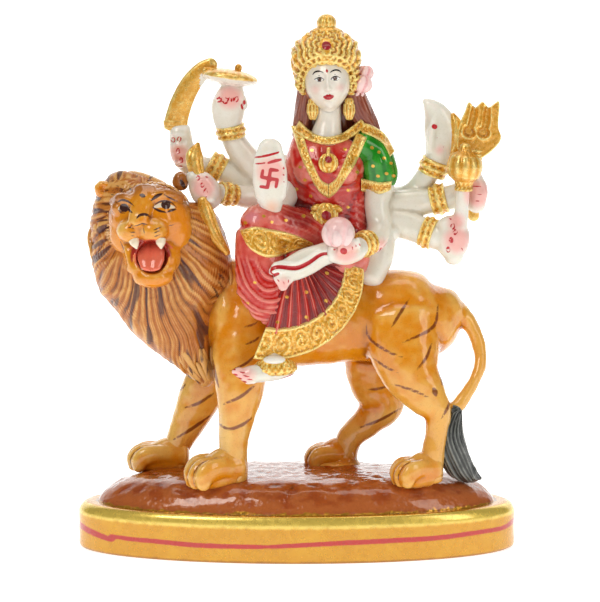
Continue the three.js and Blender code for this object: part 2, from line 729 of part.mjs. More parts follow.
function tridentArm() {
  const outline = new THREE.Shape([
    [34.8, 70.8], [37.4, 68.6], [40.2, 68.8], [44, 72], [44.4, 73.4], [43.7, 75.4], [43.8, 81.2],
    [41.7, 79.9], [40.4, 81.1], [38.7, 79.8], [37.4, 81], [36.5, 78.8], [35.6, 76.6], [35, 74.6],
  ].map(([x, z]) => new THREE.Vector2(x * SHARE, GROUND + z * SHARE)));
  const thickness = 2.2 * SHARE;
  const plate = new THREE.ExtrudeGeometry(outline, { depth: thickness, bevelEnabled: false });
  plate.rotateX(Math.PI / 2).translate(0, 1.2 * SHARE + thickness / 2, 0);
  const grooves = [
    limb([[38.6, -0.2, 80.4, 0.5], [37.2, -0.2, 74, 1.1]]),
    limb([[41.5, -0.2, 80.4, 0.5], [40.5, -0.2, 74, 1.1]]),
  ];
  return [
    limb([
      [18, 2, 57.6, 3.6, 3.2],
      [25.6, 2.2, 58.6, 3.1, 2.8],
      [31.4, 1.5, 59.6, 2.6, 2.5],
      [36, 1.4, 60.6, 2.9, 2.5],
    ]),
    band([29.4, 1.8, 59.2], [32.6, 1.4, 59.9], 3.2),
    limb([
      [39.3, 0.4, 65.2, 1.3],
      [40, -0.2, 62, 1.9, 1.8],
      [39, 0.4, 58.4, 1.4],
    ], { tips: [0.6, 0.6] }),
    limb([[38.8, 1.2, 69.6, 1.5], [38.7, 1.2, 57.4, 1.3]]),
    solid(plate).subtract(join(grooves)),
  ];
}

function maceArm() {
  const ribs = [];
  const ribCount = 6;
  for (let i = 0; i < ribCount; i++) {
    const angle = (2 * Math.PI * i) / ribCount;
    ribs.push(ball(
      [36.1 + 1.9 * Math.cos(angle), -3.3 + 1.9 * Math.sin(angle), 67], [1.7, 1.7, 3.5],
    ));
  }
  return [
    limb([
      [17.6, 0.8, 55, 3.6, 3.2],
      [23.4, 0.2, 54.2, 3.2, 2.9],
      [28.2, -1.2, 52.6, 3, 2.7],
      [31, -2.2, 51.6, 2.8, 2.5],
    ]),
    band([26.2, -0.6, 53.2], [29, -1.4, 52.2], 3.4),
    limb([
      [32.4, -2.6, 54, 3, 2.2],
      [33.6, -2.9, 51.4, 3.8, 2.6],
      [34.6, -2.9, 47.4, 2.9, 2.2],
    ], { tips: [0, 0.5] }),
    limb([[36, -3.3, 64, 1.5], [35.4, -3.3, 53, 1.6]], { sides: 8 }),
    ...ribs,
    ball([36.4, -3.3, 70.6], [1.1, 1.1, 1.2], SMALL),
  ];
}

function lotusArm() {
  const petals = [];
  const petalCount = 6;
  for (let i = 0; i < petalCount; i++) {
    const angle = (2 * Math.PI * i) / petalCount;
    petals.push(ball(
      [9.1 + 1.7 * Math.cos(angle), -13 + 1.5 * Math.sin(angle), 53.8], [2.1, 2, 3.3],
    ));
  }
  return [
    limb([
      [13.4, 1, 72.2, 3.4, 3.2],
      [17.2, 1.2, 68.8, 4.1, 3.6],
      [18, 0.6, 64, 3.7, 3.3],
      [17.4, -0.6, 58.7, 2.7, 2.6],
      [18, -2.4, 53.6, 2.7, 2.6],
      [16.6, -6, 51.2, 2.5, 2.4],
      [13.8, -10, 50.6, 2.1, 2.1],
    ]),
    ball([13.8, 1.4, 58.8], [2.8, 2.6, 9]), // drapery between the arm and the waist
    band([17.9, 0.7, 65], [17.6, 0, 61.4], 4, 3.6), // hem of the sleeve
    band([15.6, -7.4, 51.2], [13.6, -9.8, 51], 2.8),
    limb([
      [13.4, -10.6, 50, 2.2, 2],
      [10.6, -12.6, 49.6, 2.7, 2],
      [7.6, -13.6, 49.8, 2.2, 1.6],
    ]),
    ...digits([12.4, -13.6, 50.2], [9.6, -15, 49.8], 4, [[0.5, -0.8, 0.8], [0.5, -0.8, 2]], 0.75),
    ...petals,
  ];
}

// Lap, skirt and feet

const LAP = [0, 50]; // where the pleats of the skirt spread from, in X and Z
const SKIRT_START = -22; // degrees from straight down, on the side of the hanging foot
const SKIRT_END = 74;

// The hem draws in evenly from the shin round to the hip
function hemRadius(degrees) {
  return 22.4 - 0.1 * degrees;
}

function skirtPoint(across, outward, depth) {
  const degrees = SKIRT_START + (SKIRT_END - SKIRT_START) * across;
  const angle = THREE.MathUtils.degToRad(degrees);
  const radius = hemRadius(degrees) * outward;
  return [LAP[0] + radius * Math.sin(angle), depth, LAP[1] - radius * Math.cos(angle)];
}

function skirt() {
  const pleats = 11;
  const border = 0.72; // where the gold border starts, as a share of the way to the hem
  const front = (across, up) => {
    const outward = 1 - 0.74 * up;
    const ridge = outward < border ? 0.7 * Math.abs(Math.sin(Math.PI * pleats * across)) : 0.5;
    const hang = -15.4 + 4.6 * across ** 2 + 1.6 * (outward - 0.6) ** 2;
    return skirtPoint(across, outward, hang - ridge);
  };
  const back = (across, up) => skirtPoint(across, 0.86 * (1 - 0.74 * up), -5);
  return slab(front, back, 2 * pleats, 3);
}

function lapAndFeet() {
  const swags = [];
  const swagCount = 4;
  for (let i = 0; i < swagCount; i++) {
    const drop = 3.9 * i;
    swags.push(limb([
      [-12.2 + 0.4 * i, -13.2, 50.4 - 0.6 * drop, 0.5],
      [-10.8 + 0.2 * i, -15.2, 46.6 - 0.8 * drop, 0.7],
      [-6.6, -16.2, 48.4 - drop, 0.8],
      [-2.6, -15.2, 49 - 0.8 * drop, 0.5],
    ], { sides: 4, steps: 2 }));
  }
  return [
    limb([
      [7, 0, 50, 6, 6],
      [-1.6, -6.4, 53.8, 5.4, 5],
      [-7.4, -9.8, 55.4, 4.6, 4.4],
      [-9.4, -10.8, 54.4, 3.9, 4],
    ], {
      sides: 8,
    }),
    limb([
      [-9, -10.6, 54.4, 4.1, 4],
      [-8, -11.6, 48.4, 5.4, 4.2],
      [-7.2, -12.2, 42.6, 5.7, 3.8],
      [-5.8, -13, 36, 4, 3],
      [-4.8, -13.8, 30.6, 2.7, 2.5],
      [-4.4, -14.2, 26.4, 2, 2],
    ], { sides: 8 }),
    limb([
      [9.6, -0.4, 48.4, 6, 5.6],
      [11.6, -6.6, 47.6, 5, 4.6],
      [10.4, -11, 48.6, 3, 3],
    ], { sides: 7 }),
    limb([[18.6, -1.4, 53, 3, 3], [17.6, -2.6, 48, 3.6, 3.4], [16, -3.6, 42.6, 3.6, 3.4]]),
    limb([
      [-11.2, -12.6, 53.2, 1, 1],
      [-7.2, -13.8, 52, 1.9, 1.2],
      [-3.4, -12.8, 52, 2, 1.4],
      [1, -10.4, 52.6, 1.4, 1.2],
      [4.4, -7.6, 52.4, 0.6, 0.6],
    ]), // gold border of the thigh
    ...swags,
    skirt(),
    // Her left foot, folded across the lap with its sole up
    limb([
      [9.4, -12.4, 51, 1.9, 1.7],
      [5.8, -14.2, 49.5, 2.4, 1.9],
      [0.9, -15.4, 47.6, 2.4, 1.8],
      [-2.4, -15.8, 45.8, 2.1, 1.5],
    ]),
    ...digits([-3.6, -16, 46.6], [-1.2, -16.2, 43.9], 4, [[-0.9, -0.1, -0.9], [-1.3, 0, -1.6]], 0.7),
    // Her right foot, hanging in front of the lion's shoulder
    limb([
      [-2, -14.3, 24.8, 1.6, 1.6],
      [-5, -14.6, 24.9, 2.1, 1.9],
      [-9, -15, 24.3, 1.8, 1.8],
      [-12, -15.4, 23.4, 1.4, 1.6],
    ]),
    ...digits([-11.6, -16.6, 22.9], [-12.6, -14.2, 23.9], 4, [[-0.9, -0.1, 0], [-1.7, -0.1, -0.3]], 0.65),
    band([-4.5, -14.3, 27], [-4.9, -14.5, 25], 4.3, 2.8), // anklet
  ];
}

function durgaOnLion() {
  const casting = join([
    plinth(),
    ...lionBody(),
    ...lionLegs(),
    ...lionTail(),
    ...lionMane(),
    ...lionHead(),
    ...torso(),
    ...hair(),
    ...head(),
    ...discusArm(),
    ...swordArm(),
    ...bowArm(),
    ...blessingArm(),
    ...conchArm(),
    ...tridentArm(),
    ...maceArm(),
    ...lotusArm(),
    ...lapAndFeet(),
  ]);
  const { vertProperties, triVerts } = casting.getMesh();
  const geometry = new THREE.BufferGeometry();
  geometry.setAttribute('position', new THREE.BufferAttribute(vertProperties, 3));
  geometry.setIndex(new THREE.BufferAttribute(triVerts, 1));
  const slim = thinned(geometry, FINEST_CARVING);
  slim.computeVertexNormals();
  const finish = new THREE.MeshStandardMaterial({ color: COLOURS.resin, roughness: 0.3, metalness: 0 });
  const mesh = new THREE.Mesh(slim, finish);
  mesh.name = 'durga_on_lion';
  return mesh;
}

const part = new THREE.Group();
part.add(durgaOnLion());

export default part;
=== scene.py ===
"""Durga seated on her lion: the painted resin figure around its packed casting.

Everything is laid out as the casting is, in hundredths of the figure's height from the ground
under the paws, and turned to metres by to_metres(). X runs along the plinth with the lion's head
at the negative end, the goddess faces negative Y, and Z is up.
"""

from __future__ import annotations

import itertools
import json
import logging
import math
from dataclasses import dataclass, field
from enum import Enum
from typing import Callable, Iterable, Sequence

import bpy
import numpy as np
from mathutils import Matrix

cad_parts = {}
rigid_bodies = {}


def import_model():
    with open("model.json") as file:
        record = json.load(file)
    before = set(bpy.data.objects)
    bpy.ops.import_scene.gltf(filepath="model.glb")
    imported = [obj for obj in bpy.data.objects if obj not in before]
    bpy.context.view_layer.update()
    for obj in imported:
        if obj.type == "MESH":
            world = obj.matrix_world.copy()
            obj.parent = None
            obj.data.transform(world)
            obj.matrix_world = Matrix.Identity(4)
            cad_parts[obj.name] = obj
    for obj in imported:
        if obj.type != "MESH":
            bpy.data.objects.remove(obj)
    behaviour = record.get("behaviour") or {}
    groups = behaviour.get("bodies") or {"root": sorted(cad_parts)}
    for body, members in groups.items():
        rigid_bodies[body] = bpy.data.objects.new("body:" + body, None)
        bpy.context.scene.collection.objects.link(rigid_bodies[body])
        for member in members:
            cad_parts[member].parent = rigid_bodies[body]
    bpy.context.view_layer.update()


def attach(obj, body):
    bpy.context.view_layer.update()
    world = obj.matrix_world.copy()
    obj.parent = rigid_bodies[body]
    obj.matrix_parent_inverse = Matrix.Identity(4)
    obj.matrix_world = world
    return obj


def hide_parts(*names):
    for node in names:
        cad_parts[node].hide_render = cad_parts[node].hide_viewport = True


log = logging.getLogger("durga")

Array = np.ndarray
Relief = Callable[[Array, Array], Array]
Station = Sequence[float]
Path = Sequence[Station]
Limbs = tuple[tuple[tuple[float, float], Path], ...]
Eggs = tuple[tuple[Station, Station], ...]
Rows = tuple[tuple[Station, Station, int, Path, float], ...]

NODE = "durga_on_lion"
BODY = "root"

MILLIMETRE = 0.001
SHARE = 1.71 * MILLIMETRE  # a hundredth of the figure's height
GROUND = 29.0 * MILLIMETRE  # top of the mound, where the paws stand
FRONT = np.array([0.0, -1.0, 0.0])
UP = np.array([0.0, 0.0, 1.0])

# The viewer of the figure: eye height above level, distance and the point looked at, in metres
VIEW_TILT = math.radians(8)
VIEW_DISTANCE = 1.1
VIEW_CENTRE = np.array([0.0013, 0.0, 0.093])
FRAME_WIDTH = 600  # of the picture, in steps
FOCAL_STEPS = 2945
STEP = VIEW_DISTANCE / FOCAL_STEPS / MILLIMETRE  # millimetres at the figure's middle
AHEAD = np.array([0, math.cos(VIEW_TILT), -math.sin(VIEW_TILT)])
ABOVE = np.array([0, math.sin(VIEW_TILT), math.cos(VIEW_TILT)])
EYE = VIEW_CENTRE - AHEAD * VIEW_DISTANCE
TINT = 2.7  # steps of the picture to a millimetre, for soft tints
FAR = 6.0  # millimetres from a zone's edge at which none of its paint shows


# Arrays and forms


def linear(code: str) -> tuple[float, float, float, float]:
    """Turn an sRGB hex colour into linear light.

    Args:
        code: Six hex digits after a hash sign.

    Returns:
        Red, green, blue and an alpha of one.
    """
    values = np.array([int(code[i : i + 2], 16) for i in (1, 3, 5)]) / 255
    light = np.where(values <= 0.04045, values / 12.92, ((values + 0.055) / 1.055) ** 2.4)
    return (*light.tolist(), 1.0)


def to_metres(shares: Array) -> Array:
    """Turn places in hundredths of the figure's height into metres."""
    return np.asarray(shares, float) * SHARE + np.array([0, 0, GROUND])


def to_shares(points: Array) -> Array:
    """Turn places in metres into hundredths of the figure's height."""
    return (points - np.array([0, 0, GROUND])) / SHARE


def as_seen(points: Array) -> Array:
    """Project places onto the viewer's picture, FRAME_WIDTH steps wide.

    The eye stands VIEW_DISTANCE away and VIEW_TILT above level. A place's offset from the eye
    across and up the view is scaled by the focal length over its depth.

    Args:
        points: Places in metres, (n, 3).

    Returns:
        Steps from the picture's left edge and down from its upper edge, (n, 2).
    """
    offset = points - EYE
    scale = FOCAL_STEPS / (offset @ AHEAD)
    middle = FRAME_WIDTH / 2
    return np.stack([middle + offset[:, 0] * scale, middle + 1 - offset @ ABOVE * scale], -1)


def from_view(places: Array, depths: Array) -> Array:
    """Find what the viewer sees at steps of the picture: each sight line, followed to a depth.

    Args:
        places: Steps from the picture's left edge and down from its upper edge, (..., 2).
        depths: Place along Y that each sight line is followed to, in hundredths.

    Returns:
        Places in hundredths, (..., 3).
    """
    across = (places[..., 0] - FRAME_WIDTH / 2) / FOCAL_STEPS
    up = (FRAME_WIDTH / 2 + 1 - places[..., 1]) / FOCAL_STEPS
    line = AHEAD + across[..., None] * np.array([1.0, 0, 0]) + up[..., None] * ABOVE
    run = (depths * SHARE - EYE[1]) / line[..., 1]
    return to_shares(EYE + run[..., None] * line)


def at(across: float, down: float, depth: float, *girth: float) -> list[float]:
    """Make a station, or a place, at a step of the viewer's picture and a depth along Y."""
    return [*from_view(np.array([across, down]), np.array(depth)).tolist(), *girth]


def smooth_step(low: float, high: float, values: Array) -> Array:
    """Rise smoothly from 0 at low to 1 at high: 3t squared less 2t cubed."""
    t = np.clip((values - low) / (high - low), 0, 1)
    return t * t * (3 - 2 * t)


def lumps(points: Array, size: float, seed: int) -> Array:
    """Smooth random heights: corners of a cubic lattice get hashed values, blended between them.

    Args:
        points: Places, (..., 3), in the unit of size.
        size: Spacing of the lattice.
        seed: Picks the pattern.

    Returns:
        Heights from -1 to 1.
    """
    place = points / size + 37.7 * seed
    cell = np.floor(place).astype(np.int64)
    t = place - cell
    t = t * t * (3 - 2 * t)
    total = np.zeros(points.shape[:-1])
    for corner in itertools.product((0, 1), repeat=3):
        # The corner's three whole numbers are mixed into one of 32 bits by primes and shifts
        mixed = (
            ((cell + np.array(corner)) @ np.array([374761393, 668265263, 1440662683]) + seed * 97)
            & 0xFFFFFFFF
        )
        mixed = ((mixed ^ (mixed >> 13)) * 1274126177) & 0xFFFFFFFF
        mixed = mixed ^ (mixed >> 16)
        weight = np.prod(np.where(np.array(corner) == 1, t, 1 - t), axis=-1)
        total += weight * ((mixed & 0xFFFF) / 32767.5 - 1)
    return total


@dataclass
class Form:
    """A closed surface: points in metres, and its faces as rows of point numbers."""

    points: Array
    quads: Array
    triangles: Array

    def outward(self) -> Form:
        """Turn the faces outwards, by the sign of the volume that they enclose.

        Returns:
            The form itself, or one with every face turned round.
        """
        fans = [self.triangles, self.quads[:, [0, 1, 2]], self.quads[:, [0, 2, 3]]]
        a, b, c = (self.points[np.concatenate(fans)[:, i]] for i in range(3))
        if np.einsum("ij,ij->", a, np.cross(b, c)) < 0:
            return Form(self.points, self.quads[:, ::-1], self.triangles[:, ::-1])
        return self


def gathered(forms: Iterable[Form]) -> Form:
    """Put several forms into one, as separate shells.

    Args:
        forms: The forms.

    Returns:
        One form with the points and faces of all.
    """
    points, quads, triangles, count = [], [], [], 0
    for form in forms:
        points.append(form.points)
        quads.append(form.quads + count)
        triangles.append(form.triangles + count)
        count += len(form.points)
    return Form(np.concatenate(points), np.concatenate(quads), np.concatenate(triangles))


def tube(rings: Array, first: Array, last: Array) -> Form:
    """Close a stack of rings with a point at each end.

    Args:
        rings: Points, (rows, sides, 3).
        first: The point before the first ring.
        last: The point after the last ring.

    Returns:
        The closed form.
    """
    rows, sides = rings.shape[:2]
    ids = np.arange(rows * sides).reshape(rows, sides)
    low, high = ids[:-1], ids[1:]
    quads = np.stack([low, np.roll(low, -1, 1), np.roll(high, -1, 1), high], -1).reshape(-1, 4)
    tip = rows * sides
    start = np.stack([np.full(sides, tip), np.roll(ids[0], -1), ids[0]], -1)
    end = np.stack([np.full(sides, tip + 1), ids[-1], np.roll(ids[-1], -1)], -1)
    points = np.concatenate([rings.reshape(-1, 3), [first, last]])
    return Form(points, quads, np.concatenate([start, end])).outward()


def slab(front: Array, back: Array) -> Form:
    """Close the space between two surfaces over the same grid.

    Args:
        front: One surface, (rows, columns, 3).
        back: The other one.

    Returns:
        The closed form.
    """
    rows, columns = front.shape[:2]
    ids = np.arange(rows * columns).reshape(rows, columns)
    a, b, c, d = ids[:-1, :-1], ids[:-1, 1:], ids[1:, 1:], ids[1:, :-1]
    far = rows * columns
    rim = np.concatenate([ids[0, :-1], ids[:-1, -1], ids[-1, :0:-1], ids[:0:-1, 0]])
    after = np.roll(rim, -1)
    quads = np.concatenate([
        np.stack([a, b, c, d], -1).reshape(-1, 4),
        np.stack([a, d, c, b], -1).reshape(-1, 4) + far,
        np.stack([rim, rim + far, after + far, after], -1),
    ])
    points = np.concatenate([front.reshape(-1, 3), back.reshape(-1, 3)])
    return Form(points, quads, np.zeros((0, 3), int)).outward()


def spline(knots: Array, shares: Array) -> tuple[Array, Array]:
    """Follow a centripetal Catmull-Rom curve through its knots.

    Each span is a cubic whose end slopes come from the neighbouring knots, weighted by the
    square root of the distances between them.

    Args:
        knots: Points that the curve passes through, (k, d).
        shares: Where to read the curve, from 0 at the first knot to 1 at the last.

    Returns:
        The places and the slopes there, each (n, d).
    """
    ends = 2 * knots[[0, -1]] - knots[[1, -2]]
    all_knots = np.concatenate([ends[:1], knots, ends[1:]])
    where = np.clip(shares, 0, 1) * (len(knots) - 1)
    span = np.minimum(where.astype(int), len(knots) - 2)
    t = (where - span)[:, None]
    p0, p1, p2, p3 = (all_knots[span + i] for i in range(4))
    gaps = [np.linalg.norm(q - p, axis=1, keepdims=True) ** 0.5 for p, q in ((p0, p1), (p1, p2), (p2, p3))]
    middle = np.where(gaps[1] < 1e-4, 1, gaps[1])
    before = np.where(gaps[0] < 1e-4, middle, gaps[0])
    after = np.where(gaps[2] < 1e-4, middle, gaps[2])
    leave = ((p1 - p0) / before - (p2 - p0) / (before + middle) + (p2 - p1) / middle) * middle
    arrive = ((p2 - p1) / middle - (p3 - p1) / (middle + after) + (p3 - p2) / after) * middle
    square = 3 * (p2 - p1) - 2 * leave - arrive
    cube = 2 * (p1 - p2) + leave + arrive
    return p1 + t * (leave + t * (square + t * cube)), leave + t * (2 * square + 3 * t * cube)


def unit(vectors: Array) -> Array:
    """Scale vectors to a length of one."""
    return vectors / np.maximum(np.linalg.norm(vectors, axis=-1, keepdims=True), 1e-12)


def loft(
    stations: Sequence[Station],
    *,
    sides: int = 40,
    rows: int = 10,
    caps: int = 6,
    face: Array = FRONT,
    tips: tuple[float, float] = (0.0, 0.0),
    relief: Relief | None = None,
) -> Form:
    """Carry an oval along a smooth path through its stations.

    The path and the oval's half axes each follow a spline. The oval stands across the path, with
    one half axis towards the given face. Each end is a dome whose height is its tip, as a share
    of the end's own half width.

    Args:
        stations: x, y, z, half width seen from the front and half depth, in hundredths.
        sides: Points round the oval.
        rows: Rows for each span between stations.
        caps: Rings in each end dome.
        face: Direction that the oval's depth is turned towards.
        tips: Heights of the two end domes.
        relief: Extra distance from the path, in hundredths, by share of length and angle.

    Returns:
        The closed form in metres.
    """
    knots = np.array([s[:3] for s in stations], float)
    girths = np.array([[s[3], s[4] if len(s) > 4 else s[3]] for s in stations], float)
    shares = np.linspace(0, 1, rows * (len(stations) - 1) + 1)
    middle, slope = spline(knots, shares)
    girth, _ = spline(girths, shares)
    along = unit(slope)
    reach = girth[[0, -1], 0] * np.array(tips)
    for end, sign in ((0, -1), (-1, 1)):
        if tips[end] == 0:
            continue
        dome = np.linspace(0, 0.94, caps + 1)[1:] * math.pi / 2
        added = middle[end] + sign * along[end] * reach[end] * np.sin(dome)[:, None]
        narrower = girth[end] * np.cos(dome)[:, None]
        same = np.repeat(along[[end]], len(dome), 0)
        still = np.full(len(dome), shares[end])
        if end == 0:
            middle, girth = np.concatenate([added[::-1], middle]), np.concatenate([narrower[::-1], girth])
            along, shares = np.concatenate([same, along]), np.concatenate([still, shares])
        else:
            middle, girth = np.concatenate([middle, added]), np.concatenate([girth, narrower])
            along, shares = np.concatenate([along, same]), np.concatenate([shares, still])
    deep = unit(face - along * (along @ face)[:, None])
    wide = np.cross(along, deep)
    angle = np.linspace(0, 2 * math.pi, sides, endpoint=False)
    spoke = (
        wide[:, None] * (np.cos(angle)[:, None] * girth[:, None, :1])
        + deep[:, None] * (np.sin(angle)[:, None] * girth[:, None, 1:])
    )
    if relief is not None:
        raised = relief(shares[:, None] + 0 * angle, angle + 0 * shares[:, None])
        spoke *= 1 + (raised / np.maximum(np.linalg.norm(spoke, axis=-1), 0.3))[..., None]
    rings = to_metres(middle[:, None] + spoke)
    first = to_metres(middle[0] - along[0] * reach[0] * 0.005)
    last = to_metres(middle[-1] + along[-1] * reach[1] * 0.005)
    return tube(rings, first, last)


def ball(
    middle: Sequence[float],
    radii: Sequence[float],
    *,
    roll: float = 0.0,
    turn: float = 0.0,
    tilt: float = 0.0,
    around: int = 40,
    down: int = 24,
    relief: Relief | None = None,
) -> Form:
    """Make an egg shape: latitude and longitude on a sphere, scaled, and turned about each axis.

    Args:
        middle: Its centre, in hundredths.
        radii: Half axes along X, Y and Z, in hundredths.
        roll: Degrees about Y.
        turn: Degrees about Z, after the roll.
        tilt: Degrees about X, before the roll.
        around: Points round the Z axis.
        down: Rows from pole to pole.
        relief: Extra distance from the centre, in hundredths, by share of height and angle.

    Returns:
        The closed form in metres.
    """
    height = np.linspace(0, math.pi, down + 1)[1:-1, None]
    angle = np.linspace(0, 2 * math.pi, around, endpoint=False)[None]
    rings = np.stack([
        np.sin(height) * np.cos(angle), np.sin(height) * np.sin(angle), np.cos(height) + 0 * angle,
    ], -1) * np.array(radii)
    poles = np.array([[0, 0, radii[2]], [0, 0, -radii[2]]], float)
    if relief is not None:
        raised = relief(height / math.pi + 0 * angle, angle + 0 * height)
        rings = rings * (1 + (raised / np.linalg.norm(rings, axis=-1))[..., None])
    a, b, c = (math.radians(v) for v in (tilt, roll, turn))
    about_x = np.array([[1, 0, 0], [0, math.cos(a), -math.sin(a)], [0, math.sin(a), math.cos(a)]])
    about_y = np.array([[math.cos(b), 0, math.sin(b)], [0, 1, 0], [-math.sin(b), 0, math.cos(b)]])
    about_z = np.array([[math.cos(c), -math.sin(c), 0], [math.sin(c), math.cos(c), 0], [0, 0, 1]])
    turned = (about_z @ about_y @ about_x).T
    place = np.array(middle, float)
    return tube(to_metres(rings @ turned + place), *to_metres(poles @ turned + place))


def digits(
    first: Sequence[float],
    last: Sequence[float],
    count: int,
    bends: Sequence[Sequence[float]],
    radius: float,
) -> list[Form]:
    """Make a row of fingers or toes, each bent through the same joints.

    Args:
        first: Root of the first one, in hundredths.
        last: Root of the last one.
        count: How many there are.
        bends: Each joint's place from the root.
        radius: Half width at the root, a tenth less at each joint.

    Returns:
        One form for each.
    """
    row = []
    for share in np.linspace(0, 1, count):
        base = np.array(first) * (1 - share) + np.array(last) * share
        joints = [
            [*(base + bend), radius * (1 - 0.1 * joint)] for joint, bend in enumerate(np.array(bends), 1)
        ]
        row.append(loft([[*base, radius], *joints], sides=18, rows=6, tips=(0.6, 0.9)))
    return row


def shaped(limbs: Limbs, eggs: Eggs = (), rows: Rows = (), face: Array = FRONT) -> list[Form]:
    """Make plain forms from their sizes.

    Args:
        limbs: For each, the heights of its two end domes and its path.
        eggs: For each, its middle and half axes.
        rows: For each row of fingers or toes, what digits() takes.
        face: Direction that the limbs' depth is turned towards.

    Returns:
        The forms.
    """
    forms = [loft(path, face=face, tips=tips) for tips, path in limbs]
    forms += [ball(middle, radii) for middle, radii in eggs]
    for row in rows:
        forms += digits(*row)
    return forms


# Pieces


class Piece:
    """One painted piece of the figure: its Blender object, and its mesh read back as arrays."""

    def __init__(self, name: str, form: Form) -> None:
        """Put a form into a mesh and an object at the origin.

        Args:
            name: The object's name.
            form: Its surface.
        """
        self.name = name
        mesh = bpy.data.meshes.new(name)
        corners = np.concatenate([form.quads.ravel(), form.triangles.ravel()])
        sizes = np.concatenate([np.full(len(form.quads), 4), np.full(len(form.triangles), 3)])
        mesh.vertices.add(len(form.points))
        mesh.loops.add(len(corners))
        mesh.polygons.add(len(sizes))
        mesh.vertices.foreach_set("co", form.points.astype(np.float32).ravel())
        mesh.loops.foreach_set("vertex_index", corners.astype(np.int32))
        mesh.polygons.foreach_set("loop_start", (np.cumsum(sizes) - sizes).astype(np.int32))
        mesh.update(calc_edges=True)
        mesh.validate()
        mesh.shade_smooth()
        self.object = bpy.data.objects.new(name, mesh)
        bpy.context.scene.collection.objects.link(self.object)
        self.read()

    def read(self) -> None:
        """Read the points, normals and edges of the mesh."""
        mesh = self.object.data
        found = {}
        for key in ("co", "normal"):
            values = np.empty(len(mesh.vertices) * 3, np.float32)
            mesh.vertices.foreach_get(key, values)
            found[key] = values.reshape(-1, 3).astype(float)
        self.points, self.normals = found["co"], found["normal"]
        edges = np.empty(len(mesh.edges) * 2, np.int32)
        mesh.edges.foreach_get("vertices", edges)
        self.edges = edges.reshape(-1, 2)

    def move(self, points: Array) -> None:
        """Give the mesh new places for its points, and read it again.

        Args:
            points: The places in metres, (n, 3).
        """
        self.object.data.vertices.foreach_set("co", points.astype(np.float32).ravel())
        self.object.data.update()
        self.read()

    def fuse(self, voxel: float, rounds: int) -> Piece:
        """Run overlapping shells together on a lattice of the given size, and soften the joins.

        Args:
            voxel: The lattice's spacing in millimetres.
            rounds: How often each point is drawn half-way to its neighbours' middle.

        Returns:
            The piece itself.
        """
        modifier = self.object.modifiers.new("fused", "REMESH")
        modifier.mode = "VOXEL"
        modifier.voxel_size = voxel * MILLIMETRE
        modifier.adaptivity = 0
        modifier.use_smooth_shade = True
        bpy.context.view_layer.update()
        seen = self.object.evaluated_get(bpy.context.evaluated_depsgraph_get())
        mesh = bpy.data.meshes.new_from_object(seen)
        self.object.modifiers.clear()
        old, self.object.data = self.object.data, mesh
        bpy.data.meshes.remove(old)
        mesh.name = self.name
        self.read()
        self.move(self.relaxed(rounds))
        return self

    def spread(self, values: Array, rounds: int, pull: float = 0.5) -> Array:
        """Draw each point's values towards the mean of its neighbours'.

        Args:
            values: One or more numbers for each point.
            rounds: How often it is done.
            pull: Share of the way to the mean.

        Returns:
            The evened values, in the same shape.
        """
        a, b = self.edges.T
        count = np.maximum(np.bincount(np.concatenate([a, b]), minlength=len(self.points)), 1)
        columns = values.reshape(len(values), -1).copy()
        both, other = np.concatenate([a, b]), np.concatenate([b, a])
        for _ in range(rounds):
            for i in range(columns.shape[1]):
                mean = np.bincount(both, columns[other, i], minlength=len(columns)) / count
                columns[:, i] += pull * (mean - columns[:, i])
        return columns.reshape(values.shape)

    def relaxed(self, rounds: int) -> Array:
        """The points after smoothing."""
        return self.spread(self.points, rounds)

    def write(self, name: str, values: Array) -> None:
        """Keep one number for each point as an attribute.

        Args:
            name: The attribute's name, which a finish reads.
            values: The numbers.
        """
        data = self.object.data
        attribute = data.attributes.get(name) or data.attributes.new(name, "FLOAT", "POINT")
        attribute.data.foreach_set("value", values.astype(np.float32))

    def paint_depth_shading(self, rounds: int = 10, keep: Array | float = 1.0) -> None:
        """Write how far each point lies below the smoothed surface, in millimetres, as `hollow`.

        Recesses are positive, where the finish paints shade, and ridges are negative, where it paints a
        highlight.

        Args:
            rounds: How often the surface is smoothed.
            keep: Share of the ridges' height that is kept, one number or one for each point.
        """
        depth = np.einsum("ij,ij->i", self.relaxed(rounds) - self.points, self.normals)
        depth = self.spread(depth, 1) / MILLIMETRE
        self.write("hollow", np.where(depth < 0, depth * keep, depth))

    def swell(self, heights: Array) -> None:
        """Move every point outwards along its normal by its height in millimetres."""
        self.move(self.points + self.normals * heights[:, None] * MILLIMETRE)

    def dress(self, paint: Paint, replaces: bool = False) -> Piece:
        """Give the piece its finish and its place in the frame.

        Args:
            paint: The finish. Zones of it that the piece hasn't drawn are kept far away.
            replaces: Whether the piece stands for the casting's own solid.

        Returns:
            The piece itself.
        """
        for zone in paint.value.zones:
            if zone.attribute not in self.object.data.attributes:
                self.write(zone.attribute, np.full(len(self.points), FAR))
        self.object.data.materials.clear()
        self.object.data.materials.append(paint.material)
        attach(self.object, BODY)
        if replaces:
            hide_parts(NODE)
        return self


